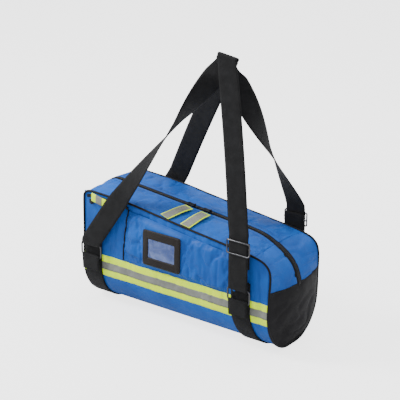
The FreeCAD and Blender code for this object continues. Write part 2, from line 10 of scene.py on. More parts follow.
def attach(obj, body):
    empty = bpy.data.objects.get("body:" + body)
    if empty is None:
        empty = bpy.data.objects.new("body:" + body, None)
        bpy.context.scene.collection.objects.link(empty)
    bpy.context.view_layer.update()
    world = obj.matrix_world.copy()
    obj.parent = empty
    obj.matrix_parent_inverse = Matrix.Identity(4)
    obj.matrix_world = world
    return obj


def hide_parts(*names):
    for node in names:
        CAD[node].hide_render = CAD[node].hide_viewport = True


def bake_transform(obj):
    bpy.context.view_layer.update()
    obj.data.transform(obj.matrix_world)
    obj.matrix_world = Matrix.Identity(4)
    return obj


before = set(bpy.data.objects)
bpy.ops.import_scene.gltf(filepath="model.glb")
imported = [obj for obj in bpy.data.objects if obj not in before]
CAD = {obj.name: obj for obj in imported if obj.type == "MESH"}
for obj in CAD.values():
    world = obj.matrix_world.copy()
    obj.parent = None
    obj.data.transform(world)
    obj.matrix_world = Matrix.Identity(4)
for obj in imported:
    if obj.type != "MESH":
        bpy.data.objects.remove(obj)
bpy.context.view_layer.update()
MM = 0.001


# ---- the bag's form, in millimetres ----
# Pairs of points from the bottom of the left end, over the top, to the bottom of the right end:
# the corded edge (x, y, z) and the middle line (x, z) beside it.
RIM = [
    ((-258, 0, 4.2), (-258, 4.2)), ((-258, 22, 4.6), (-260, 11)), ((-258, 44, 11), (-264, 24)),
    ((-258, 71, 31), (-269, 44)), ((-258, 90, 62), (-273, 74)), ((-258, 96.5, 95), (-274.5, 102)),
    ((-258, 96, 138), (-275, 140)), ((-258, 94.5, 180), (-274, 180)), ((-258.5, 93.5, 222), (-272, 220)),
    ((-258.5, 93, 252), (-268, 248)), ((-257, 92.5, 265), (-263.5, 264)), ((-248, 92, 273), (-254, 275)),
    ((-234, 91.5, 275), (-236, 282.2)), ((-205, 91, 274), (-205, 280.3)), ((-160, 91, 272), (-160, 276.3)),
    ((-119, 91, 269), (-119, 272.6)), ((-90, 91, 265.5), (-90, 270)), ((-36, 91, 258.5), (-36, 265.2)),
    ((34, 91.5, 250), (34, 259)), ((103, 92, 242.5), (103, 252.8)), ((140, 92, 238), (140, 249.3)),
    ((180, 92, 233.5), (178, 243)), ((212, 92, 229), (208, 231)), ((238, 92.5, 222.5), (234, 216)),
    ((252, 93, 213), (252, 200.5)), ((259, 93.5, 199), (262, 187)), ((260.5, 94.5, 178), (270, 167)),
    ((259, 96, 140), (275, 143)), ((258, 96.5, 95), (275.5, 108)), ((258, 90, 62), (273, 78)),
    ((258, 71, 31), (269, 46)), ((258, 44, 11), (264, 24)), ((258, 22, 4.6), (260, 11)),
    ((258, 0, 4.2), (258, 4.2)),
]
BODY_X = 258.0
CAP_Z = 149.0
BAND_Z = (78.0, 128.0)
SILVER_Z = (94.0, 112.0)
WEB_X = {"left": -228.0, "right": 188.0}
LID_X = (-234.0, 212.0)
CORD_X = (-232.0, 205.0)
SIDES = (("front", -1), ("back", 1))


def spline(points, t):
    """Smooth curve through points; t counts points from 0."""
    i = min(max(int(t), 0), len(points) - 2)
    f = t - i
    p = [points[min(max(k, 0), len(points) - 1)] for k in (i - 1, i, i + 1, i + 2)]
    out = []
    for a, b, c, d in zip(*p):
        out.append(0.5 * (2 * b + (c - a) * f + (2 * a - 5 * b + 4 * c - d) * f * f
                          + (3 * b - a - 3 * c + d) * f ** 3))
    return out


RIM_FLAT = [(*edge, *middle) for edge, middle in RIM]


def rim(t):
    x, y, z, mx, mz = spline(RIM_FLAT, t)
    return Vector((x, max(y, 0.0), z)), Vector((mx, 0.0, mz))


FINE = 24
RIM_TABLE = [rim(i / FINE) for i in range((len(RIM) - 1) * FINE + 1)]
TOP_FROM, TOP_TO = 11 * FINE, 25 * FINE  # part of the table that runs over the top


def table_span(x, part, last):
    """Neighbouring table positions either side of x on the top; part 0 is the edge, 1 the middle line."""
    lo, hi = TOP_FROM, last
    while hi - lo > 1:
        mid = (lo + hi) // 2
        if RIM_TABLE[mid][part].x < x:
            lo = mid
        else:
            hi = mid
    return lo, hi


def rim_index(x):
    """Table position where the middle line passes over x on the top."""
    lo, hi = table_span(x, 1, TOP_TO)
    a, b = RIM_TABLE[lo][1].x, RIM_TABLE[hi][1].x
    return lo + min(max((x - a) / (b - a), 0.0), 1.0)


def rim_at(i):
    k = min(max(int(i), 0), len(RIM_TABLE) - 2)
    f = i - k
    (e0, m0), (e1, m1) = RIM_TABLE[k], RIM_TABLE[k + 1]
    return e0.lerp(e1, f), m0.lerp(m1, f)


def edge_z(x):
    """Height of the corded top edge over x."""
    lo, hi = table_span(x, 0, TOP_TO + 18)  # the edge runs a little further round than the top
    a, b = RIM_TABLE[lo][0], RIM_TABLE[hi][0]
    f = min(max((x - a.x) / max(b.x - a.x, 1e-6), 0.0), 1.0)
    return a.z + (b.z - a.z) * f


def top_point(i, q, lift=0.0):
    """Arched top and ends: i along the rim table, q from -1 (front) to 1 (back)."""
    def raw(i, q):
        edge, middle = rim_at(i)
        share = abs(q) ** 2.2
        p = middle.lerp(edge, share)
        p.y = math.copysign(edge.y * abs(q), q)
        return p
    p = raw(i, q)
    d, h = 1.0, 0.01
    along = raw(i + d, q) - raw(i - d, q)
    across = raw(i, min(q + h, 1.0)) - raw(i, max(q - h, -1.0))
    n = along.cross(across).normalized()
    return (p + n * lift) * MM, n


# The body tube's section: a flat strip on the floor, a round belly, and walls that lean in a little.
FLAT_V, FLAT_Y, FLAT_Z = 0.1, 20.0, 4.2
BELLY_V, BELLY_Y, BELLY_Z, BELLY_R, BELLY_FROM = 0.47, 4.72, 95.2, 92.3, -80.5
WALL_Y, WALL_LEAN, WALL_Z = 97.0, 0.0323, 95.0


def side_point(x, v, side, lift=0.0):
    """Body tube: v from 0 (bottom middle) to 1 (top edge), side -1 front or 1 back."""
    def raw(x, v):
        if v < FLAT_V:
            return Vector((x, side * FLAT_Y * v / FLAT_V, FLAT_Z))
        if v < BELLY_V:
            t = math.radians(BELLY_FROM) * (1.0 - (v - FLAT_V) / (BELLY_V - FLAT_V))
            return Vector((x, side * (BELLY_Y + BELLY_R * math.cos(t)), BELLY_Z + BELLY_R * math.sin(t)))
        a = (v - BELLY_V) / (1.0 - BELLY_V)
        z = BELLY_Z + (edge_z(x) - BELLY_Z) * a
        fade = max(0.0, 1.0 - (abs(x) / BODY_X) ** 6)
        y = WALL_Y - WALL_LEAN * (z - WALL_Z) + 1.6 * math.sin(math.pi * a) * fade
        return Vector((x, side * y, z))
    p = raw(x, v)
    along = raw(x + 1.0, v) - raw(x - 1.0, v)
    up = raw(x, min(v + 0.004, 1.0)) - raw(x, max(v - 0.004, 0.0))
    n = up.cross(along).normalized()
    if n.dot(p - Vector((x, 0.0, WALL_Z))) < 0:
        n = -n
    return (p + n * lift) * MM, n


def v_of_z(x, z):
    """Body tube's v for a height on the upper, nearly flat wall or the round belly."""
    if z >= BELLY_Z:
        return BELLY_V + (1.0 - BELLY_V) * (z - BELLY_Z) / (edge_z(x) - BELLY_Z)
    t = math.degrees(math.asin(max(-1.0, (z - BELLY_Z) / BELLY_R)))
    return FLAT_V + (BELLY_V - FLAT_V) * (1.0 - t / BELLY_FROM)


def fabric_noise(p, size, seed=0.0):
    return noise.noise(Vector((p.x / size + seed, p.y / size, p.z / size)))


# ---- mesh helpers ----
def placed(name, mesh, body):
    obj = bpy.data.objects.new(name, mesh)
    bpy.context.scene.collection.objects.link(obj)
    if body:
        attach(obj, body)
    return obj


def new_mesh(name, verts, faces, material, body):
    mesh = bpy.data.meshes.new(name)
    mesh.from_pydata([tuple(v) for v in verts], [], faces)
    mesh.update()
    mesh.shade_smooth()
    mesh.materials.append(material)
    return placed(name, mesh, body)


def turn_faces_out(mesh):
    bm = bmesh.new()
    bm.from_mesh(mesh)
    bmesh.ops.recalc_face_normals(bm, faces=bm.faces)
    bm.to_mesh(mesh)
    bm.free()


def thicken(obj, thickness):
    """Gives a skin its thickness, half to each side, and applies all its modifiers."""
    solid = obj.modifiers.new("thickness", "SOLIDIFY")
    solid.thickness = thickness * MM
    solid.offset = 0.0
    bpy.context.view_layer.update()
    dg = bpy.context.evaluated_depsgraph_get()
    mesh = bpy.data.meshes.new_from_object(obj.evaluated_get(dg))
    obj.modifiers.clear()
    obj.data = mesh
    mesh.shade_smooth()


def sheet(name, rows, material, body, thickness=0.0, closed=False):
    """A skin through rows of points, with a back face if it has thickness."""
    count, width = len(rows), len(rows[0])
    verts = [p for row in rows for p in row]
    faces = []
    for i in range(count - 1 + (1 if closed else 0)):
        a, b = i * width, ((i + 1) % count) * width
        for j in range(width - 1):
            faces.append((a + j, a + j + 1, b + j + 1, b + j))
    obj = new_mesh(name, verts, faces, material, None)
    turn_faces_out(obj.data)
    if thickness:
        thicken(obj, thickness)
    if body:
        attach(obj, body)
    return obj


def tube_faces(base, count, around, closed=False):
    """Faces round a tube of count rings of points, numbered from base, with flat ends unless closed."""
    faces = []
    for i in range(count if closed else count - 1):
        a, b = base + i * around, base + (i + 1) % count * around
        for k in range(around):
            n = (k + 1) % around
            faces.append((a + k, a + n, b + n, b + k))
    if not closed:
        faces.append(tuple(range(base + around - 1, base - 1, -1)))
        faces.append(tuple(range(base + (count - 1) * around, base + count * around)))
    return faces


def tube_mesh(name, path, radius, material, body, closed=False, around=10):
    """A cord along a path of points in metres."""
    path = [Vector(p) for p in path]
    rings = []
    count = len(path)
    normal = None
    for i, p in enumerate(path):
        before = path[i - 1] if (i or closed) else path[0]
        after = path[(i + 1) % count] if (i < count - 1 or closed) else path[-1]
        tangent = (after - before).normalized()
        if normal is None:
            guide = Vector((0, 0, 1)) if abs(tangent.z) < 0.9 else Vector((0, 1, 0))
            normal = guide.cross(tangent).normalized()
        normal = (normal - tangent * normal.dot(tangent)).normalized()
        binormal = tangent.cross(normal)
        ring = []
        for k in range(around):
            a = 2 * math.pi * k / around
            ring.append(p + (normal * math.cos(a) + binormal * math.sin(a)) * radius)
        rings.append(ring)
    verts = [p for ring in rings for p in ring]
    return new_mesh(name, verts, tube_faces(0, count, around, closed), material, body)


def joined(name, parts, body=None):
    """Joins mesh objects into one, keeping their materials."""
    bm = bmesh.new()
    materials = []
    for part in parts:
        index = len(bm.faces)
        bm.from_mesh(part.data)
        bm.faces.ensure_lookup_table()
        own = part.data.materials[0]
        if own not in materials:
            materials.append(own)
        for face in bm.faces[index:]:
            face.material_index = materials.index(own)
    mesh = bpy.data.meshes.new(name)
    bm.to_mesh(mesh)
    bm.free()
    for part in parts:
        bpy.data.objects.remove(part)
    mesh.shade_smooth()
    for own in materials:
        mesh.materials.append(own)
    return placed(name, mesh, body)


# ---- materials ----
def material(name, base, rough=0.6, metal=0.0):
    m = bpy.data.materials.new(name)
    m.use_nodes = True
    tree = m.node_tree
    shader = tree.nodes["Principled BSDF"]
    shader.inputs["Base Color"].default_value = (*base, 1)
    shader.inputs["Roughness"].default_value = rough
    shader.inputs["Metallic"].default_value = metal
    return m, tree, shader


def coords(tree, scale):
    texture = tree.nodes.new("ShaderNodeTexCoord")
    mapping = tree.nodes.new("ShaderNodeMapping")
    mapping.inputs["Scale"].default_value = scale
    tree.links.new(texture.outputs["Object"], mapping.inputs["Vector"])
    return mapping.outputs["Vector"]


def noise_map(tree, scale, detail, stretch=(1, 1, 1), **more):
    """Noise over the piece's own coordinates."""
    node = tree.nodes.new("ShaderNodeTexNoise")
    for key, value in {"Scale": scale, "Detail": detail, **more}.items():
        node.inputs[key].default_value = value
    tree.links.new(coords(tree, stretch), node.inputs["Vector"])
    return node.outputs["Fac"]


def math_node(tree, operation, *values):
    node = tree.nodes.new("ShaderNodeMath")
    node.operation = operation
    for slot, value in enumerate(values):
        if isinstance(value, (int, float)):
            node.inputs[slot].default_value = value
        else:
            tree.links.new(value, node.inputs[slot])
    return node.outputs[0]


def weave(tree, pitch):
    """Height of a plain weave with the given thread pitch in metres, on any facing."""
    k = 2 * math.pi / pitch
    vector = coords(tree, (k, k, k))
    split = tree.nodes.new("ShaderNodeSeparateXYZ")
    tree.links.new(vector, split.inputs[0])
    waves = [math_node(tree, "SINE", split.outputs[axis]) for axis in range(3)]
    pair = math_node(tree, "MULTIPLY", waves[0], math_node(tree, "ADD", waves[1], waves[2]))
    return math_node(tree, "MULTIPLY_ADD", pair, 0.25, 0.5)


def ramp(tree, value, stops):
    node = tree.nodes.new("ShaderNodeValToRGB")
    tree.links.new(value, node.inputs[0])
    elements = node.color_ramp.elements
    while len(elements) < len(stops):
        elements.new(0.5)
    for element, (position, colour) in zip(elements, stops):
        element.position = position
        element.color = (*colour, 1)
    return node.outputs["Color"]


def colour_from(tree, shader, value, stops):
    tree.links.new(ramp(tree, value, stops), shader.inputs["Base Color"])


def bump(tree, shader, height, strength, distance, chain=None):
    node = tree.nodes.new("ShaderNodeBump")
    node.inputs["Strength"].default_value = strength
    node.inputs["Distance"].default_value = distance
    tree.links.new(height, node.inputs["Height"])
    if chain:
        tree.links.new(chain, node.inputs["Normal"])
    tree.links.new(node.outputs["Normal"], shader.inputs["Normal"])
    return node.outputs["Normal"]


def fabric(name, dark, light, pitch, rough, sheen, creases=0.5, blotch=9.0, spec=0.2):
    """Woven cloth: thread relief, small creases, uneven colour, and painted shade and light that follow the
    weave's relief.
    """
    m, tree, shader = material(name, light, rough)
    cloud = noise_map(tree, blotch, 6.0, Roughness=0.6)
    colour = ramp(tree, cloud, [(0.3, dark), (0.7, light)])
    threads = weave(tree, pitch)
    # painted shade and highlight: the weave's height darkens the colour in its hollows and lightens it on
    # the thread crossings
    shade = tree.nodes.new("ShaderNodeMix")
    shade.data_type = "RGBA"
    shade.blend_type = "MULTIPLY"
    shade.inputs[0].default_value = 0.35
    tree.links.new(colour, shade.inputs[6])
    tree.links.new(ramp(tree, threads, [(0.0, (0.55,) * 3), (1.0, (1.2,) * 3)]), shade.inputs[7])
    tree.links.new(shade.outputs[2], shader.inputs["Base Color"])
    fine = noise_map(tree, 38.0, 4.0, Distortion=0.8)
    first = bump(tree, shader, fine, creases, 0.0016)
    bump(tree, shader, threads, 0.6, 0.00018, first)
    rough_mix = math_node(tree, "MULTIPLY_ADD", fine, 0.22, rough - 0.11)
    tree.links.new(rough_mix, shader.inputs["Roughness"])
    shader.inputs["Sheen Weight"].default_value = sheen
    shader.inputs["Sheen Roughness"].default_value = 0.4
    shader.inputs["Specular IOR Level"].default_value = spec
    return m


def webbing_material(name, base, rib=0.0016):
    """Ribbed webbing: ribs along the strap read from the piece's own UV map."""
    m, tree, shader = material(name, base, 0.62)
    uv = tree.nodes.new("ShaderNodeUVMap")
    split = tree.nodes.new("ShaderNodeSeparateXYZ")
    tree.links.new(uv.outputs[0], split.inputs[0])
    across = math_node(tree, "SINE", math_node(tree, "MULTIPLY", split.outputs[0], 2 * math.pi / rib))
    along = math_node(tree, "SINE", math_node(tree, "MULTIPLY", split.outputs[1], 2 * math.pi / 0.0022))
    ribs, picks = math_node(tree, "MULTIPLY", across, 0.6), math_node(tree, "MULTIPLY", along, 0.4)
    height = math_node(tree, "ADD", ribs, picks)
    lift = tuple(min(1.0, c * 1.8 + 0.004) for c in base)
    colour_from(tree, shader, noise_map(tree, 60.0, 4.0), [(0.3, base), (0.75, lift)])
    bump(tree, shader, height, 0.75, 0.0005)
    shader.inputs["Sheen Weight"].default_value = 0.05
    shader.inputs["Specular IOR Level"].default_value = 0.16
    return m


def metal(name, base, rough, scratch=0.25):
    m, tree, shader = material(name, base, rough, 1.0)
    grain = noise_map(tree, 160.0, 5.0, (1, 1, 6))
    value = math_node(tree, "MULTIPLY_ADD", grain, scratch, rough - scratch / 2)
    tree.links.new(value, shader.inputs["Roughness"])
    dark = tuple(c * 0.7 for c in base)
    colour_from(tree, shader, grain, [(0.3, dark), (0.6, base)])
    bump(tree, shader, grain, 0.12, 0.0002)
    return m


def plastic(name, base, rough, grain_scale=700.0):
    m, tree, shader = material(name, base, rough)
    tint = tuple(min(1.0, c * 1.25 + 0.01) for c in base)
    colour_from(tree, shader, noise_map(tree, 25.0, 3.0), [(0.35, base), (0.7, tint)])
    bump(tree, shader, noise_map(tree, grain_scale, 3.0), 0.2, 0.0002)
    return m


BLUE = fabric("blue_coated_cloth", (0.004, 0.075, 0.36), (0.010, 0.140, 0.60), 0.0012, 0.5, 0.03,
              creases=0.6, spec=0.22)
BLACK_CLOTH = fabric("black_reinforcing_cloth", (0.004, 0.004, 0.005), (0.012, 0.011, 0.013), 0.0016, 0.55,
                     0.04)
PIPING = fabric("piping_tape", (0.003, 0.003, 0.004), (0.010, 0.010, 0.012), 0.0009, 0.5, 0.04, creases=0.3)
FRAME_TAPE = fabric("window_binding", (0.012, 0.009, 0.008), (0.028, 0.023, 0.021), 0.0012, 0.55, 0.06)
ZIP_TAPE = fabric("zip_tape", (0.004, 0.004, 0.005), (0.012, 0.012, 0.014), 0.0008, 0.7, 0.04, creases=0.2)
HIVIS = fabric("bright_tape", (0.66, 0.98, 0.0), (0.82, 1.0, 0.01), 0.0010, 0.5, 0.0, creases=0.25,
               blotch=14.0)
glow = HIVIS.node_tree.nodes["Principled BSDF"].inputs  # painted glow: the tape emits light to stand in for its fluorescent dye's brightness
glow["Emission Color"].default_value = (0.70, 1.0, 0.02, 1)
glow["Emission Strength"].default_value = 0.28
SILVER = fabric("silver_strip", (0.19, 0.20, 0.18), (0.32, 0.33, 0.29), 0.0007, 0.42, 0.0, creases=0.25,
                blotch=20.0)
LINING = fabric("lining_cloth", (0.05, 0.055, 0.065), (0.10, 0.105, 0.12), 0.0014, 0.8, 0.05)
WEBBING = webbing_material("strap_webbing", (0.0045, 0.0045, 0.0052))
RING_METAL = metal("gunmetal", (0.13, 0.13, 0.14), 0.32)
ZIP_METAL = metal("blackened_zip_metal", (0.05, 0.05, 0.055), 0.4)
COIL = plastic("zip_coil", (0.008, 0.008, 0.009), 0.35)
THREAD = plastic("blue_thread", (0.008, 0.05, 0.24), 0.6)
BLACK_THREAD = plastic("black_thread", (0.012, 0.012, 0.014), 0.6)
FOAM = fabric("foam_padding", (0.06, 0.06, 0.07), (0.13, 0.13, 0.15), 0.002, 0.9, 0.4, creases=0.8)


# ---- piece helpers ----
def stands_for(obj, node):
    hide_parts(node)


def piece(name, parts, body, node):
    """Joins parts into the piece that is shown in place of a node of the frame."""
    stands_for(joined(name, parts, body), node)


def steps(a, b, count):
    return [a + (b - a) * k / (count - 1) for k in range(count)]


def smooth(t):
    t = min(max(t, 0.0), 1.0)
    return t * t * (3 - 2 * t)


def creases(x, z, stretch, depth, size, seed, gain=5.0):
    """1 along thin wandering lines in the cloth and 0 between them."""
    return smooth(1.0 - gain * abs(fabric_noise(Vector((x, z * stretch, depth)), size, seed)))


def ribbon(name, stations, width, thick, material, body=None, columns=8):
    """A strap through (centre in mm, width direction, face normal), with a UV map in metres."""
    rings, lengths, total, last = [], [], 0.0, None
    for centre, across, normal in stations:
        centre = Vector(centre)
        u = Vector(across).normalized()
        n = Vector(normal)
        n = (n - u * n.dot(u)).normalized()
        total += (centre - last).length * MM if last is not None else 0.0
        last = centre
        lengths.append(total)
        offsets = steps(-width / 2, width / 2, columns)
        upper = [(o, thick / 2 * (1 - 0.45 * abs(2 * o / width) ** 8)) for o in offsets]
        loop = upper + [(o, -h) for o, h in reversed(upper)]
        rings.append([((centre + u * o + n * h) * MM, o * MM) for o, h in loop])
    around = len(rings[0])
    verts = [p for ring in rings for p, _ in ring]
    obj = new_mesh(name, verts, tube_faces(0, len(rings), around), material, None)
    uv = obj.data.uv_layers.new(name="UVMap")
    for loop in obj.data.loops:
        i, k = divmod(loop.vertex_index, around)
        uv.data[loop.index].uv = (rings[i][k][1], lengths[i])
    turn_faces_out(obj.data)
    obj.data.shade_smooth()
    if body:
        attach(obj, body)
    return obj


def bars(name, places, size, material, body=None):
    """Small rounded bars (stitches, zip teeth): places hold (centre in m, long axis, up axis)."""
    long, wide, tall = (v * MM / 2 for v in size)
    verts, faces = [], []
    outline = [(-1, -0.6), (-0.6, -1), (0.6, -1), (1, -0.6), (1, 0.6), (0.6, 1), (-0.6, 1), (-1, 0.6)]
    for centre, along, up in places:
        along = Vector(along).normalized()
        up = Vector(up)
        up = (up - along * up.dot(along)).normalized()
        side = along.cross(up)
        levels = ((-1, 0.75), (-0.4, 1.0), (0.4, 1.0), (1, 0.7))
        faces += tube_faces(len(verts), len(levels), len(outline))
        for h, shrink in levels:
            for a, b in outline:
                flat = along * (a * long * shrink) + side * (b * wide * shrink)
                verts.append(centre + flat + up * (h * tall))
    return new_mesh(name, verts, faces, material, body)


STITCH_GAP = 1.2  # between stitches, in mm


def stitches(name, points, material, length=2.4):
    """A stitch row along (point, normal) pairs in metres."""
    places, walked, target = [], 0.0, 0.0
    for (p, n), (q, _) in zip(points, points[1:]):
        step = (q - p).length
        while step > 0 and walked + step >= target:
            centre = p.lerp(q, (target - walked) / step)
            places.append((centre, q - p, n))
            target += (length + STITCH_GAP) * MM
        walked += step
    return bars(name, places, (length, 0.7, 0.7), material)


def softened(name, node, edge, material, body):
    """A soft piece started from a CAD node's form: edges rounded over and the surface made uneven."""
    mesh = CAD[node].data.copy()
    mesh.transform(CAD[node].matrix_world)
    bm = bmesh.new()
    bm.from_mesh(mesh)
    bmesh.ops.remove_doubles(bm, verts=bm.verts, dist=0.00002)
    bmesh.ops.dissolve_limit(bm, angle_limit=0.03, verts=bm.verts, edges=bm.edges)
    sharp = [e for e in bm.edges if len(e.link_faces) == 2 and e.calc_face_angle() > 0.6]
    bmesh.ops.bevel(bm, geom=sharp, offset=edge * MM, segments=3, profile=0.6, affect="EDGES",
                    clamp_overlap=True)
    bmesh.ops.triangulate(bm, faces=bm.faces)
    bmesh.ops.subdivide_edges(bm, edges=[e for e in bm.edges if e.calc_length() > 0.012], cuts=2)
    for v in bm.verts:
        v.co += v.normal * (0.5 * MM * fabric_noise(v.co / MM, 14.0, 3.0))
    bm.to_mesh(mesh)
    bm.free()
    mesh.materials.clear()
    mesh.materials.append(material)
    mesh.shade_smooth()
    return placed(name, mesh, body)


SIM_FRAMES = 20
MOST_SLIDE, MOST_SINK = 1.5, 0.8  # limits on how far the simulation moves a point, in mm


def settled(obj, outward, width, fixed, cap, thickness):
    """Cloth simulation: slack cloth puffs between its sewn edges; the result is kept and given thickness."""
    outward = Vector(outward)
    mesh = obj.data
    if sum(face.normal.dot(outward) for face in mesh.polygons) < 0:
        mesh.flip_normals()
    count = len(mesh.vertices)
    rest = [v.co.copy() for v in mesh.vertices]
    sewn = [i for i in range(count) if i % width in (0, width - 1) or i < width or i >= count - width
            or fixed(rest[i] / MM)]
    obj.vertex_groups.new(name="sewn").add(sewn, 1.0, "REPLACE")
    cloth = obj.modifiers.new("cloth", "CLOTH")
    settings = cloth.settings
    settings.quality = 5
    settings.mass = 0.15
    settings.tension_stiffness = 20.0
    settings.bending_stiffness = 0.12
    settings.vertex_group_mass = "sewn"
    settings.shrink_min = -0.07
    settings.use_pressure = True
    settings.uniform_pressure_force = 4.0
    settings.effector_weights.gravity = 0.0
    cloth.point_cache.frame_start = 1
    cloth.point_cache.frame_end = SIM_FRAMES
    for number in range(1, SIM_FRAMES + 1):
        bpy.context.scene.frame_set(number)
    moved = obj.evaluated_get(bpy.context.evaluated_depsgraph_get()).data
    found = [v.co.copy() for v in moved.vertices]
    obj.modifiers.clear()
    obj.vertex_groups.clear()
    for v, before, after in zip(mesh.vertices, rest, found):
        push = (after - before).dot(outward)
        slide = (after - before) - outward * push
        slide = slide * min(1.0, MOST_SLIDE * MM / max(slide.length, 1e-9))
        v.co = before + slide + outward * min(max(push, -MOST_SINK * MM), cap * MM)
    bpy.context.scene.frame_set(1)
    rounded = obj.modifiers.new("smooth", "SUBSURF")
    rounded.levels = 1
    rounded.render_levels = 1
    thicken(obj, thickness)
    return obj


# ---- body tube ----
def wall_lift(x, z, side):
    """Small folds and puckers of the side cloth, in mm; they die out by the straps and the ends."""
    p = Vector((x, z, side * 40.0))
    lift = 2.0 * fabric_noise(p, 60.0, 1.0) + 1.0 * fabric_noise(p, 22.0, 5.0)
    above = smooth((z - 60) / 50)
    lift -= 1.6 * creases(x, z, 0.35, side, 26.0, 9.0) * above
    ripple = math.sin(x / 9.0 + 1.5 * fabric_noise(p, 45.0, 2.0))
    lift += 0.9 * ripple * smooth((z - 130) / 40) * smooth((fabric_noise(p, 90.0, 7.0) + 0.2) * 2)
    lift -= 1.9 * creases(x, z, 0.22, side * 9.0, 17.0, 31.0, 4.5) * above
    for strap_x in WEB_X.values():
        lift *= 0.12 + 0.88 * smooth((abs(x - strap_x) - 24.0) / 24.0)
    return lift * smooth((BODY_X - abs(x)) / 25)


def side_row(x, lift, side, lo, hi, count):
    """Points up one side between two heights."""
    row = []
    for z in steps(lo, hi, count):
        row.append(side_point(x, v_of_z(x, z), side, lift + wall_lift(x, z, side))[0])
    return row


def build_body():
    rows = []
    for x in steps(-BODY_X, BODY_X, 112):
        row = []
        for side, run in ((-1, steps(1.0, 0.0, 46)), (1, steps(0.0, 1.0, 46)[1:])):
            for v in run:
                p, _ = side_point(x, v, side)
                folds = wall_lift(x, p.z / MM, side) * smooth((v - 0.25) * 4)
                row.append(side_point(x, v, side, -1.5 + folds)[0])
        rows.append(row)
    stands_for(sheet("body_cloth", rows, BLUE, "bag", 3.0), "body_shell")


# ---- top and ends ----
def index_of_z(run, z):
    """The table index in run where the middle line of an end is nearest to height z."""
    return min(run, key=lambda i: abs(RIM_TABLE[i][1].z - z))


LAST = len(RIM_TABLE) - 1
CAP_TOP = {"left": index_of_z(range(0, TOP_FROM), CAP_Z),
           "right": index_of_z(range(LAST, TOP_TO, -1), CAP_Z)}
LID_ENDS = (rim_index(LID_X[0]), rim_index(LID_X[1]))
ZIP_SLOT = 8.5
TOP_Y = 91.0  # half the top's width, near enough along its whole length


def top_lift(p):
    """Small folds of the top and end cloth, in mm."""
    q = p / MM
    waves = 1.8 * fabric_noise(q, 55.0, 11.0) + 0.9 * fabric_noise(q, 20.0, 4.0)
    return waves - 1.9 * creases(q.x, q.y, 0.4, q.z, 30.0, 13.0)


def end_patch(i0, i1, slot, material, rows, lift):
    """An end's cloth: two halves either side of the zip's slot, or one piece if there is none."""
    parts = []
    for side in (-1, 1) if slot else (1,):
        grid = []
        for i in steps(i0, i1, rows):
            edge, _ = rim_at(i)
            inner = slot / max(edge.y, 1.0) if slot else -1.0
            row = []
            for q in steps(inner, 1.0, 22 if slot else 43):
                p, _ = top_point(i, side * q)
                fade = smooth((1 - abs(q)) * 6)
                row.append(top_point(i, side * q, lift + top_lift(p) * fade)[0])
            grid.append(row)
        parts.append(sheet("end_patch", grid, material, None, 2.4))
    return parts


def build_ends():
    for name, lid_i, start, up in (("left", LID_ENDS[0], 0, 1), ("right", LID_ENDS[1], LAST, -1)):
        cap_i = CAP_TOP[name]
        panel = end_patch(cap_i, lid_i, ZIP_SLOT, BLUE, 44, -1.2)
        piece(f"{name}_end_cloth", panel, "bag", f"{name}_end_panel")
        cap = end_patch(start, cap_i + 5 * up, 0.0, BLACK_CLOTH, 40, -0.2)
        seam = [top_point(cap_i + 3 * up, q, 0.9) for q in steps(-0.97, 0.97, 90)]
        cap.append(stitches("cap_stitch", seam, BLACK_THREAD))
        piece(f"{name}_end_cap_cloth", cap, "bag", f"{name}_end_cap")


CORD_LIFT = 0.4


def cord(name, path, node):
    stands_for(tube_mesh(name, path, 2.5 * MM, PIPING, "bag"), node)


def build_piping():
    left_top, right_top = rim_index(CORD_X[0]), rim_index(CORD_X[1])
    for name, i_top, start in (("left", left_top, 0), ("right", right_top, LAST)):
        front = [top_point(i, -1.0, CORD_LIFT)[0] for i in steps(i_top, start, 110)]
        back = [top_point(i, 1.0, CORD_LIFT)[0] for i in steps(start, i_top, 110)[1:]]
        cord(f"{name}_end_cord", front + back, f"{name}_end_piping")
    for name, side in SIDES:
        path = [top_point(i, side, CORD_LIFT)[0] for i in steps(left_top, right_top, 120)]
        cord(f"{name}_edge_cord", path, f"{name}_edge_piping")


LID_COLUMNS = 20


def under_pullers(p):
    """Where a lid's cloth stays put: beside the zip, and under the puller tapes in front."""
    return abs(p.y) < 22 or (-52 < p.x < 62 and p.y < 0)


TAPE_HALF = 10.0


def tape_row(i, lo, hi, count):
    """Points across the zip's tape at a table position, between two distances from the middle line."""
    edge, _ = rim_at(i)
    return [top_point(i, y / edge.y, -0.7)[0] for y in steps(lo, hi, count)]


def build_lids():
    for name, side in SIDES:
        grid = []
        for i in steps(LID_ENDS[0], LID_ENDS[1], 96):
            edge, _ = rim_at(i)
            row = []
            for y in steps(ZIP_SLOT, edge.y - 1.5, LID_COLUMNS):
                q = side * y / edge.y
                p, _ = top_point(i, q)
                hem = 0.8 * math.exp(-((y - ZIP_SLOT - 5) / 3.0) ** 2)
                fade = smooth((edge.y - y) / 12) * smooth((y - ZIP_SLOT) / 18)
                row.append(top_point(i, q, -1.0 + hem + top_lift(p) * fade)[0])
            grid.append(row)
        panel = sheet(f"{name}_lid_panel", grid, BLUE, None)
        lid = settled(panel, (0, 0, 1), LID_COLUMNS, under_pullers, 2.5, 2.6)
        run = steps(LID_ENDS[0] + 2, LID_ENDS[1] - 2, 160)
        row = [top_point(i, side * (ZIP_SLOT + 9) / TOP_Y, 0.9) for i in run]
        seam = stitches("hem_stitch", row, THREAD)
        obj = joined(f"{name}_lid_cloth", [lid, seam])
        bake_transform(obj)
        stands_for(obj, f"{name}_lid")
        tape = [tape_row(i, side * 0.5, side * TAPE_HALF, 6) for i in steps(LID_ENDS[0], LID_ENDS[1], 100)]
        obj = sheet(f"{name}_zip_cloth", tape, ZIP_TAPE, f"{name}_lid", 0.8)
        stands_for(obj, f"{name}_zip_tape")
        obj = teeth(f"{name}_zip_teeth", LID_ENDS[0], LID_ENDS[1], (side,), f"{name}_lid")
        stands_for(obj, f"{name}_zip_coil")


TOOTH_PITCH = 2.4


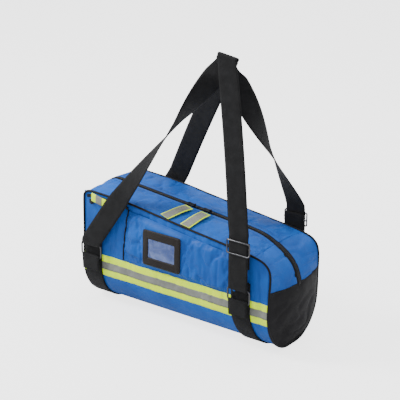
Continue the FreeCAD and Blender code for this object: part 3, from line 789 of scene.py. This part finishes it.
def teeth(name, i0, i1, sides, body):
    """Coil turns either side of the middle line, half a pitch apart."""
    places = []
    for side in sides:
        last, walked, due = None, 0.0, TOOTH_PITCH * MM * (0.0 if side < 0 else 0.5)
        for i in steps(i0, i1, 700):
            p, n = top_point(i, side * 1.9 / TOP_Y, 0.3)
            if last is not None:
                walked += (p - last).length
                if walked >= due:
                    across = (p - last).normalized().cross(n)
                    places.append((p, across, n))
                    due += TOOTH_PITCH * MM
            last = p
    return bars(name, places, (4.0, 1.5, 1.9), COIL, body)


def build_end_zips():
    tapes, coils = [], []
    for cap_i, lid_i in ((CAP_TOP["left"], LID_ENDS[0]), (CAP_TOP["right"], LID_ENDS[1])):
        grid = [tape_row(i, -TAPE_HALF, TAPE_HALF, 10) for i in steps(cap_i, lid_i, 50)]
        tapes.append(sheet("end_tape_run", grid, ZIP_TAPE, None, 0.8))
        coils.append(teeth("end_teeth_run", cap_i, lid_i, (-1, 1), None))
    piece("end_zip_cloth", tapes, "bag", "end_zip_tape")
    piece("end_zip_teeth", coils, "bag", "end_zip_coil")


# ---- bright bands ----
def build_bands():
    tapes, silvers = [], []
    for side in (-1, 1):
        grid = [side_row(x, 0.5, side, *BAND_Z, 14) for x in steps(-BODY_X, BODY_X, 112)]
        tapes.append(sheet("bright_run", grid, HIVIS, None, 0.7))
        grid = [side_row(x, 1.1, side, *SILVER_Z, 6) for x in steps(-BODY_X, BODY_X, 112)]
        silvers.append(sheet("silver_run", grid, SILVER, None, 0.5))
        edges = ((BAND_Z[0] + 2, tapes), (BAND_Z[1] - 2, tapes), (SILVER_Z[0] + 1.5, silvers),
                 (SILVER_Z[1] - 1.5, silvers))
        for z, onto in edges:
            lift, thread = (0.9, HIVIS) if onto is tapes else (1.4, SILVER)
            row = []
            for x in steps(2 - BODY_X, BODY_X - 2, 170):
                row.append(side_point(x, v_of_z(x, z), side, lift + wall_lift(x, z, side)))
            onto.append(stitches("band_stitch", row, thread))
    piece("bright_bands", tapes, "bag", "hivis_bands")
    piece("silver_bands", silvers, "bag", "reflective_strips")


# ---- front pocket and card window ----
POCKET_LOW = 131.0
POCKET_TOP = [(-124, 254), (-40, 244), (60, 232), (150, 222), (204, 209)]
POCKET_END = 204.0  # under the right strap
POCKET_COLUMNS = 90
SLIT_X, SLIT_TALL = -139.0, 123.0
WINDOW_X, WINDOW_Z, WINDOW_W, WINDOW_H = -24.0, 184.0, 106.0, 84.0
HOLE_W, HOLE_H = 74.0, 44.0


def pocket_top(x):
    for (a, za), (b, zb) in zip(POCKET_TOP, POCKET_TOP[1:]):
        if x <= b:
            return za + (zb - za) * min(max((x - a) / (b - a), 0.0), 1.0)
    return POCKET_TOP[-1][1]


def slit_x(z):
    lean = (z - POCKET_LOW) / SLIT_TALL
    return SLIT_X + 14.0 * lean - 3.5 * math.sin(math.pi * lean)


def pocket_lift(x, z):
    """How far the pocket's cloth stands off the wall, in mm; it lies calmer round the window."""
    left = smooth((x - slit_x(z)) / 26.0)
    right = smooth((POCKET_END - x) / 34.0)
    low = smooth((z - POCKET_LOW) / 14.0)
    full = smooth((pocket_top(x) - z) / 16.0)
    calm = smooth((66.0 - abs(x - WINDOW_X)) / 20.0) * smooth((z - POCKET_LOW - 1.0) / 12.0)
    high = full * (1.0 - 0.8 * calm)
    lift = 0.5 + 4.4 * min(left, right) * low * (2.0 * full - high)
    p = Vector((x, z, 9.0))
    pull = smooth(1.0 - (x - slit_x(z)) / 90.0)
    rays = math.sin((z - 150.0) / 6.5 + 2.0 * fabric_noise(p, 50.0, 8.0))
    folds = 2.0 * rays * pull * left + 1.6 * fabric_noise(p, 42.0, 6.0)
    folds -= 2.2 * creases(x, z, 0.4, 5.0, 24.0, 17.0)
    folds -= 2.4 * creases(x, z, 0.22, 3.0, 16.0, 41.0, 4.5) * left
    return lift + folds * low * high * right


def pocket_point(x, z, extra=0.0):
    return side_point(x, v_of_z(x, z), -1, pocket_lift(x, z) + extra)


def under_window(p):
    """Where the pocket's cloth stays put: at its sewn right end and round the window."""
    return p.x > 158 or (abs(p.x - WINDOW_X) < 58 and p.z > WINDOW_Z - 48)


def build_pocket():
    grid = []
    for b in steps(0.0, 1.0, 34):
        row = []
        start = slit_x(POCKET_LOW + b * 120.0)
        for a in steps(0.0, 1.0, POCKET_COLUMNS):
            x = start + (POCKET_END - start) * a
            row.append(pocket_point(x, POCKET_LOW + (pocket_top(x) - POCKET_LOW) * b)[0])
        grid.append(row)
    slack = sheet("pocket_sheet", grid, BLUE, None)
    cloth = settled(slack, (0, -1, 0), POCKET_COLUMNS, under_window, 3.6, 1.0)
    piece("pocket_cloth", [cloth], "bag", "front_pocket")
    path = [pocket_point(slit_x(z) - 1.0, z, 0.6)[0] for z in steps(132, 254, 60)]
    lip = tube_mesh("slit_lip", path, 1.9 * MM, PIPING, None, around=8)
    piece("slit_binding", [lip], "bag", "pocket_binding")


def build_pocket_zip():
    def zip_z(x):
        return edge_z(x) - 11.0 + 1.0 * math.sin((x + 250) / 30.0)

    def at(x, dz, lift):
        z = zip_z(x) + dz
        return side_point(x, v_of_z(x, z), -1, lift + wall_lift(x, z, -1))

    grid = [[at(x, dz, 0.9)[0] for dz in steps(-3.4, 3.4, 5)] for x in steps(-250, -127, 50)]
    tape = sheet("pocket_tape", grid, ZIP_TAPE, None, 0.8)
    places = []
    for k in range(52):
        x = -247.0 + 2.3 * k
        p, n = at(x, 0.0, 1.9)
        places.append((p, Vector((0, 0, 1)), n))
    coil = bars("pocket_teeth", places, (3.4, 1.5, 1.6), COIL)
    piece("pocket_zip_cloth", [tape, coil], "bag", "pocket_zip")


def window_grid():
    """Rounded frame of cloth round the card window, as rays from its hole to its outline."""
    grid = []
    for k in range(96):
        a = 2 * math.pi * k / 96
        c, s = math.cos(a), math.sin(a)
        row = []
        for share in steps(0.0, 1.0, 6):
            half_w = (HOLE_W + (WINDOW_W - HOLE_W) * share) / 2
            half_h = (HOLE_H + (WINDOW_H - HOLE_H) * share) / 2
            power = 0.10 + 0.03 * share
            x = WINDOW_X + half_w * math.copysign(abs(c) ** power, c)
            z = WINDOW_Z + half_h * math.copysign(abs(s) ** power, s)
            row.append(pocket_point(x, z, 2.9 - 0.7 * (2 * share - 1) ** 4)[0])
        grid.append(row)
    return grid


def film_material():
    m, tree, shader = material("clear_film", (0.10, 0.17, 0.45), 0.12)
    cloud = noise_map(tree, 26.0, 3.0, Distortion=1.4)
    bump(tree, shader, cloud, 0.8, 0.004)
    # painted light and shade: the film's colour follows the same noise as its crinkles, lighter on their
    # rises and darker in their dips
    colour_from(tree, shader, cloud, [(0.35, (0.05, 0.10, 0.34)), (0.65, (0.17, 0.25, 0.55))])
    shader.inputs["Alpha"].default_value = 0.75
    shader.inputs["Coat Weight"].default_value = 0.6
    return m


def build_window():
    ring = sheet("window_ring", window_grid(), FRAME_TAPE, None, 1.2, closed=True)
    rows = []
    corners = ((-1, -1), (1, -1), (1, 1), (-1, 1), (-1, -1))
    for half_w, half_h in ((WINDOW_W / 2 - 3.0, WINDOW_H / 2 - 3.0), (HOLE_W / 2 + 2.5, HOLE_H / 2 + 2.5)):
        for (ax, az), (bx, bz) in zip(corners, corners[1:]):
            run = []
            for t in steps(0.03, 0.97, 26):
                x = WINDOW_X + half_w * (ax + (bx - ax) * t)
                z = WINDOW_Z + half_h * (az + (bz - az) * t)
                run.append(pocket_point(x, z, 3.4))
            rows.append(stitches("window_stitch", run, BLACK_THREAD, length=2.2))
    piece("window_border", [ring] + rows, "bag", "window_frame")

    def pane(name, half_w, half_h, extra, ripple, mat, body):
        grid = []
        for z in steps(WINDOW_Z - half_h, WINDOW_Z + half_h, 34):
            row = []
            for x in steps(WINDOW_X - half_w, WINDOW_X + half_w, 50):
                wave = ripple * fabric_noise(Vector((x, z, 0)), 13.0, 20.0)
                row.append(pocket_point(x, z, extra + wave)[0])
            grid.append(row)
        return sheet(name, grid, mat, body, 0.3)

    film = pane("window_film", 38.5, 23.5, 2.0, 0.6, film_material(), "bag")
    stands_for(film, "card_window")
    blank = fabric("blank_card", (0.13, 0.19, 0.42), (0.20, 0.27, 0.52), 0.0006, 0.7, 0.0, creases=0.1)
    card = pane("blank_card", 45.0, 34.0, 0.3, 0.0, blank, "card")
    stands_for(card, "window_card")


# ---- webbing, rings and straps ----
RING_Y, RING_LOW, RING_HIGH, RING_HALF = 107.0, 122.0, 152.0, 28.5
STRAP_OUT, STRAP_IN = 110.4, 103.6
WEB, WEB_THICK = 50.0, 2.2
SEAM_X = 22.5  # seams either side of a webbing band's middle
INNER_PLY_Z, LOWER_TAIL_Z = (172.0, 162.0, 154.0), (114.0, 104.0, 94.0, 88.0)
UPRIGHT_LEG_Z = (165.0, 185.0, 215.0, 245.0, 262.0)
ADJUSTER_TAIL_Z = (202, 215, 232, 250, 258)
GLIDE_Z = 249.0
RING_WRAP = 3.4  # from a ring bar's centre to the middle of the webbing round it
BEND_Z, LEAN_Z, LEAN_TO_Z = 280.0, 157.0, 602.0
FOLD = Vector((84.0, 0.0, 627.0))
FOLD_LINE = Vector((55.0, 0.0, -7.0)).normalized()
FOLD_R = 5.0
# how a leg turns: the share of its height where it stands edge on, its turn there and its turn at the top
LEFT_TWIST, RIGHT_TWIST = (0.57, 76.0, 180.0), (0.4, -54.0, -180.0)
PLAIN = Vector((1, 0, 0))


def band_slant(name, z):
    """The right band runs slightly towards the end where it passes under the bag."""
    return Vector((10.0 * smooth((105.0 - z) / 100.0) if name == "right" else 0.0, 0.0, 0.0))


def build_webbing():
    for name, x in WEB_X.items():
        half = {}
        for side in (-1, 1):
            centres = []
            for v in steps(0.0, v_of_z(x, 112.0), 60):
                p, n = side_point(x, v, side, 2.3)
                z = p.z / MM
                away = smooth((z - 88.0) / 26.0) * (STRAP_IN - 99.6)
                centres.append(p / MM + n * away + band_slant(name, z))
            for turn in steps(180.0, 0.0, 9):
                a = math.radians(turn)
                n = Vector((0, side * math.cos(a), math.sin(a)))
                centres.append(Vector((x, side * RING_Y, RING_LOW)) + n * RING_WRAP)
            for z in LOWER_TAIL_Z:
                centres.append(Vector((x, side * (STRAP_OUT - (RING_LOW - z) * 0.06), z)))
            half[side] = centres
        whole = half[-1][::-1] + half[1][1:]
        stations = []
        for k, centre in enumerate(whole):
            before = whole[max(k - 1, 0)]
            after = whole[min(k + 1, len(whole) - 1)]
            stations.append((centre, PLAIN, (after - before).normalized().cross(PLAIN)))
        band = ribbon(f"{name}_band", stations, WEB, WEB_THICK, WEBBING)
        seams = []
        for side in (-1, 1):
            for dx in (-SEAM_X, SEAM_X):
                row = []
                for v in steps(0.05, v_of_z(x, 84.0), 60):
                    p, n = side_point(x + dx, v, side, 3.6)
                    row.append((p + band_slant(name, p.z / MM) * MM, n))
                seams.append(stitches("band_seam", row, BLACK_THREAD))
        for side in (-1, 1):
            backing = []
            for z in steps(100.0, 168.0, 20):
                p, n = side_point(x, v_of_z(x, z), side, 3.0)
                backing.append((p / MM, PLAIN, n))
            seams.append(ribbon("ring_backing", backing, WEB, 2.0, WEBBING))
        piece(f"{name}_webbing_band", [band] + seams, "bag", f"{name}_body_webbing")


def rounded_loop(half_w, low, high, radius):
    """Rectangle with round corners as (x, z) pairs."""
    out = []
    for cx, cz, start in ((half_w - radius, high - radius, 0), (-half_w + radius, high - radius, 90),
                          (-half_w + radius, low + radius, 180), (half_w - radius, low + radius, 270)):
        for turn in steps(0.0, 90.0, 7):
            a = math.radians(start + turn)
            out.append((cx + radius * math.cos(a), cz + radius * math.sin(a)))
    return out


def build_rings():
    for name, side in SIDES:
        parts = []
        for x in WEB_X.values():
            path = []
            for dx, z in rounded_loop(RING_HALF, RING_LOW, RING_HIGH, 6.0):
                path.append(Vector((x + dx, side * RING_Y, z)) * MM)
            parts.append(tube_mesh("ring_wire", path, 2.0 * MM, RING_METAL, None, closed=True, around=14))
        piece(f"{name}_ring_wires", parts, f"{name}_rings", f"{name}_rings")


def fold_centre(side):
    """The back strap hangs a little lower, behind the front one."""
    return FOLD + (Vector((0, -10, 0)) if side < 0 else Vector((-16, 9, -13)))


def leg_path(x, side, twisted):
    """Stations from the inner ply at a ring, round its bar and up to the fold."""
    out = Vector((0, side, 0))
    stations = [(Vector((x, side * STRAP_IN, z)), PLAIN, -out) for z in INNER_PLY_Z]
    for turn in steps(180.0, 360.0, 11):
        a = math.radians(turn)
        n = Vector((0, side * math.cos(a), math.sin(a)))
        stations.append((Vector((x, side * RING_Y, RING_HIGH)) + n * RING_WRAP, PLAIN, n))
    top = fold_centre(side) + Vector((0, side * FOLD_R * (-1 if twisted else 1), -2.0))
    knee = Vector((x, side * STRAP_OUT, BEND_Z))
    width = PLAIN
    if x < 0:
        start = Vector((x, side * STRAP_OUT, LEAN_Z))
        knee.x = x + (FOLD.x - x) * (BEND_Z - LEAN_Z) / (LEAN_TO_Z - LEAN_Z)
        slope = (knee - start).normalized()
        leaning = Vector((slope.z, 0, -slope.x))
        stations.append((start - Vector((0, 0, 3.0)), PLAIN, out))
        for t in steps(-0.9, 1.0, 7):
            share = smooth((t + 1) / 2)
            centre = start + (slope * 20.0 * t if t > 0 else Vector((0, 0, 3.0 * t)))
            stations.append((centre, PLAIN.lerp(leaning, share), out))
        stations.append((start.lerp(knee, 0.5), leaning, out))
        stations.append((knee - slope * 22.0, leaning, out))
        width = leaning
    else:
        for z in UPRIGHT_LEG_Z:
            stations.append((Vector((x, side * STRAP_OUT, z)), PLAIN, out))
    along = (top - knee).normalized()
    face = Vector((0, along.z, -along.y)) * side
    if face.y * side < 0:
        face = -face
    face = (face - along * face.dot(along)).normalized()
    square = face.cross(along).normalized()
    if square.x < 0:
        square = -square
    stations.append((knee + Vector((0, -side * 1.5, 0)), width + square, out + face))
    edge_share, edge_turn, full_turn = LEFT_TWIST if x < 0 else RIGHT_TWIST
    for share in steps(0.05, 1.0, 40):
        turn = 0.0
        if twisted:
            late = (share - edge_share) / (1 - edge_share)
            turn = edge_turn * share / edge_share if late < 0 else edge_turn + (full_turn - edge_turn) * late
        a = math.radians(turn)
        across = square * math.cos(a) + face * math.sin(a)
        normal = face * math.cos(a) - square * math.sin(a)
        near_top = smooth((share - 0.84) / 0.15)
        level = FOLD_LINE * (-1 if twisted else 1)
        across = across.lerp(level, near_top)
        sag = 3.0 * math.sin(math.pi * share) * (1 if x > 0 else -1)
        stations.append((knee.lerp(top, share) + Vector((sag, 0, 0)), across, normal))
    return stations


def build_straps():
    for name, side in SIDES:
        # the plain leg runs up, folds over the top and comes down as the twisted leg
        plain = leg_path(WEB_X["right"] if side < 0 else WEB_X["left"], side, False)
        twisted = leg_path(WEB_X["left"] if side < 0 else WEB_X["right"], side, True)
        arc = []
        for turn in steps(10.0, 170.0, 11):
            a = math.radians(turn)
            n = Vector((0, side * math.cos(a), math.sin(a)))
            arc.append((fold_centre(side) - Vector((0, 0, 1)) + n * FOLD_R, FOLD_LINE, n))
        whole = plain + arc + [(c, -a, n) for c, a, n in reversed(twisted)]
        obj = ribbon(f"{name}_webbing_strap", whole, WEB, WEB_THICK, WEBBING, f"{name}_strap", columns=10)
        stands_for(obj, f"{name}_strap")


def build_adjusters():
    x, z0, half, rise = WEB_X["right"], GLIDE_Z, 29.0, 15.0
    inside, reach = 107.2, 6.2  # the middle bar sits behind the strap, the outer bars in front
    for name, side in SIDES:
        path = []
        for dx, z in rounded_loop(half, z0 - rise, z0 + rise, 4.0):
            out = inside + reach * abs((z - z0) / rise) ** 1.6
            path.append(Vector((x + dx, side * out, z)) * MM)
        loop = tube_mesh("glide_loop", path, 1.7 * MM, RING_METAL, None, closed=True, around=12)
        path = [Vector((x + dx, side * inside, z0)) * MM for dx in (-half, -10, 10, half)]
        bar = tube_mesh("glide_bar", path, 1.6 * MM, RING_METAL, None, around=12)
        piece(f"{name}_glide", [loop, bar], f"{name}_adjuster", f"{name}_strap_adjuster")
        out = Vector((0, side, 0))
        stations = [(Vector((x, side * STRAP_IN, z)), PLAIN, out) for z in ADJUSTER_TAIL_Z]
        stations.append((Vector((x, side * (STRAP_IN + 1.0), 262.5)), PLAIN, out + Vector((0, 0, 0.4))))
        obj = ribbon(f"{name}_sewn_tail", stations, WEB, 2.0, WEBBING, f"{name}_adjuster")
        stands_for(obj, f"{name}_strap_tail")


# ---- pullers ----
TAB_LEN, TAB_Y = 15.0, -4.2  # a pull tab's length, and its root's y
TAPE_LEN, TAPE_WIDTH, SHINE_WIDTH = 71.0, 27.0, 21.0


def draped(name, root, turn, length, width, thick, material, lift, start=0.0):
    """A tape lying on the top, from root (x, y in mm), pointing forward and turned by some degrees."""
    a = math.radians(turn)
    along = Vector((-math.sin(a), -math.cos(a), 0))
    stations = []
    for d in steps(start, length, 18):
        p = Vector((root[0], root[1], 0)) + along * d
        i = rim_index(p.x)
        edge, _ = rim_at(i)
        q = max(-1.0, min(0.0, p.y / edge.y))
        rest, n = top_point(i, q, lift + 0.8 * math.sin(d / 13.0))
        stations.append((rest / MM, along.cross(n), n))
    return ribbon(name, stations, width, thick, material, columns=10)


def build_puller_tapes():
    for name, x, turn in (("left", -8.0, 14.0), ("right", 36.0, 4.0)):
        a = math.radians(turn)
        root = (x - math.sin(a) * TAB_LEN, TAB_Y - math.cos(a) * TAB_LEN)
        base = draped("tape_base", root, turn, TAPE_LEN, TAPE_WIDTH, 1.0, HIVIS, 4.4)
        shine = draped("tape_shine", root, turn, TAPE_LEN - 0.4, SHINE_WIDTH, 0.6, SILVER, 5.1, 4.0)
        under = draped("tape_under", root, turn, TAPE_LEN - 0.4, SHINE_WIDTH, 0.6, SILVER, 3.8, 4.0)
        piece(f"{name}_bright_tape", [base, shine, under], f"{name}_tape", f"{name}_puller_tape")


LOOP_X, LOOP_Y, LOOP_Z, LOOP_LEN = -231.0, -99.9, 252.0, 48.0


def build_pocket_loop():
    def strip(name, start, end, height, thick, mat):
        stations = []
        for x in steps(LOOP_X + start, LOOP_X + end, 18):
            t = (x - LOOP_X) / LOOP_LEN
            tip = 1.0 - 0.3 * smooth((t - 0.88) / 0.12)
            centre = Vector((x, LOOP_Y - 0.5 * math.sin(3.0 * t), LOOP_Z + 14.0 - 9.0 * t))
            stations.append((centre, Vector((0.05, 0, tip)), Vector((0, -1, 0))))
        return ribbon(name, stations, height, thick, mat)

    parts = [strip("loop_base", 2.0, LOOP_LEN, 19.0, 4.0, HIVIS),
             strip("loop_shine", 15.0, 33.0, 19.3, 4.5, SILVER)]
    piece("pocket_loop_tape", parts, "pocket_loop", "pocket_puller_loop")


# ---- inside ----
def build_lining():
    """Quilted padding inside the walls and both ends."""
    def quilt(a, b):
        rising, falling = math.sin(math.pi * (a + b) / 60.0), math.sin(math.pi * (a - b) / 60.0)
        return 0.9 * abs(rising) ** 0.5 * abs(falling) ** 0.5

    rows = []
    for x in steps(-252, 252, 100):
        row = []
        for side, run in ((-1, steps(0.97, 0.0, 44)), (1, steps(0.0, 0.97, 44)[1:])):
            for v in run:
                row.append(side_point(x, v, side, -6.8 - quilt(x, 300.0 * v))[0])
        rows.append(row)
    parts = [sheet("wall_padding", rows, LINING, None, 5.0)]
    for start, stop in ((10, LID_ENDS[0]), (LAST - 10, LID_ENDS[1])):
        grid = []
        for i in steps(start, stop, 70):
            grid.append([top_point(i, q, -7.2 - quilt(2.0 * i, 90.0 * q))[0] for q in steps(-0.9, 0.9, 40)])
        parts.append(sheet("end_padding", grid, LINING, None, 5.0))
    piece("padded_lining", parts, "bag", "foam_liner")


def build_inside():
    build_lining()
    stands_for(softened("soft_cradles", "cradle_pads", 2.0, FOAM, "bag"), "cradle_pads")
    straps = softened("hook_loop_straps", "restraint_straps", 0.4, BLACK_CLOTH, "bag")
    stands_for(straps, "restraint_straps")


def give(material, *nodes):
    for node in nodes:
        CAD[node].data.materials.clear()
        CAD[node].data.materials.append(material)


def build_hardware():
    give(metal("brass", (0.60, 0.43, 0.18), 0.3), "valve_body", "regulator_body")
    give(metal("yoke_alloy", (0.45, 0.46, 0.48), 0.34), "regulator_yoke", "yoke_screw")
    give(metal("chrome", (0.66, 0.67, 0.69), 0.14, 0.1), "gauge_case")
    for name, colour, rough, grain, node in (
            ("cylinder_paint", (0.62, 0.63, 0.64), 0.28, 300.0, "cylinder_shell"),
            ("seal_rubber", (0.02, 0.02, 0.02), 0.8, 700.0, "yoke_seal"),
            ("wheel_plastic", (0.03, 0.03, 0.035), 0.5, 400.0, "valve_handwheel"),
            ("knob_plastic", (0.02, 0.16, 0.09), 0.42, 400.0, "flow_knob"),
            ("dial_enamel", (0.82, 0.82, 0.80), 0.45, 900.0, "gauge_dial"),
            ("needle_paint", (0.5, 0.03, 0.02), 0.4, 700.0, "gauge_needle"),
            ("board_plastic", (0.05, 0.05, 0.055), 0.7, 200.0, "base_board")):
        give(plastic(name, colour, rough, grain), node)
    glass, tree, shader = material("gauge_glass", (0.9, 0.93, 0.95), 0.05)
    shader.inputs["Alpha"].default_value = 0.3
    bump(tree, shader, noise_map(tree, 60.0, 2.0), 0.05, 0.0002)
    give(glass, "gauge_lens")
    give(ZIP_METAL, "left_zip_slider", "right_zip_slider", "pocket_zip_slider")
    give(ZIP_METAL, "left_pull_tab", "right_pull_tab")


build_body()
build_ends()
build_piping()
build_lids()
build_end_zips()
build_bands()
build_pocket()
build_pocket_zip()
build_window()
build_webbing()
build_rings()
build_straps()
build_adjusters()
build_puller_tapes()
build_pocket_loop()
build_inside()
build_hardware()


# ---- floor, light and camera ----
def build_studio():
    bpy.ops.mesh.primitive_plane_add(size=14.0, location=(0, 0, 0))
    floor = bpy.context.object
    floor.name = "studio_floor"
    pale, tree, shader = material("studio_white", (0.62, 0.62, 0.62), 0.9)
    shader.inputs["Emission Color"].default_value = (1.0, 1.0, 1.0, 1)
    path = tree.nodes.new("ShaderNodeLightPath")
    glow = math_node(tree, "MULTIPLY", path.outputs["Is Camera Ray"], 2.6)
    tree.links.new(glow, shader.inputs["Emission Strength"])
    floor.data.materials.append(pale)
    world = bpy.data.worlds.new("studio_sky")
    bpy.context.scene.world = world
    world.use_nodes = True
    world.node_tree.nodes["Background"].inputs[0].default_value = (0.97, 0.98, 1.0, 1)
    world.node_tree.nodes["Background"].inputs[1].default_value = 0.75
    lamps = (("key", (-1.9, -1.3, 2.2), 0.8, 90.0), ("fill", (2.4, -1.2, 1.2), 1.6, 14.0),
             ("top", (0.2, 0.9, 2.6), 1.8, 30.0))
    for name, place, size, energy in lamps:
        light = bpy.data.lights.new(name, "AREA")
        light.size = size
        light.energy = energy
        lamp = bpy.data.objects.new(name + "_light", light)
        bpy.context.scene.collection.objects.link(lamp)
        lamp.location = place
        aim = Vector((0, 0, 0.2)) - lamp.location
        lamp.rotation_euler = aim.to_track_quat("-Z", "Y").to_euler()


# camera: where it stands round the bag, how far off, and how it is aimed
VIEW_AZIMUTH, VIEW_ELEVATION, VIEW_ROLL = 36.78, 25.41, 0.23
VIEW_DISTANCE = 3.337
AIM_UP, AIM_RIGHT = 0.0788, 0.001
LENS, SENSOR = 129.7, 36.0


def build_camera():
    az, el = math.radians(VIEW_AZIMUTH), math.radians(VIEW_ELEVATION)
    back = Vector((math.sin(az) * math.cos(el), -math.cos(az) * math.cos(el), math.sin(el)))
    right = Vector((math.cos(az), math.sin(az), 0))
    up = back.cross(right)
    look = (-back + up * AIM_UP + right * AIM_RIGHT).normalized()
    sight = look.cross(up).normalized()
    above = sight.cross(look)
    camera = bpy.data.objects.new("camera", bpy.data.cameras.new("camera"))
    bpy.context.scene.collection.objects.link(camera)
    turn = Matrix((sight, above, -look)).transposed().to_4x4()
    roll = Matrix.Rotation(math.radians(VIEW_ROLL), 4, "Z")
    camera.matrix_world = Matrix.Translation(back * VIEW_DISTANCE) @ turn @ roll
    camera.data.lens = LENS
    camera.data.sensor_width = SENSOR
    bpy.context.scene.camera = camera


build_studio()
build_camera()
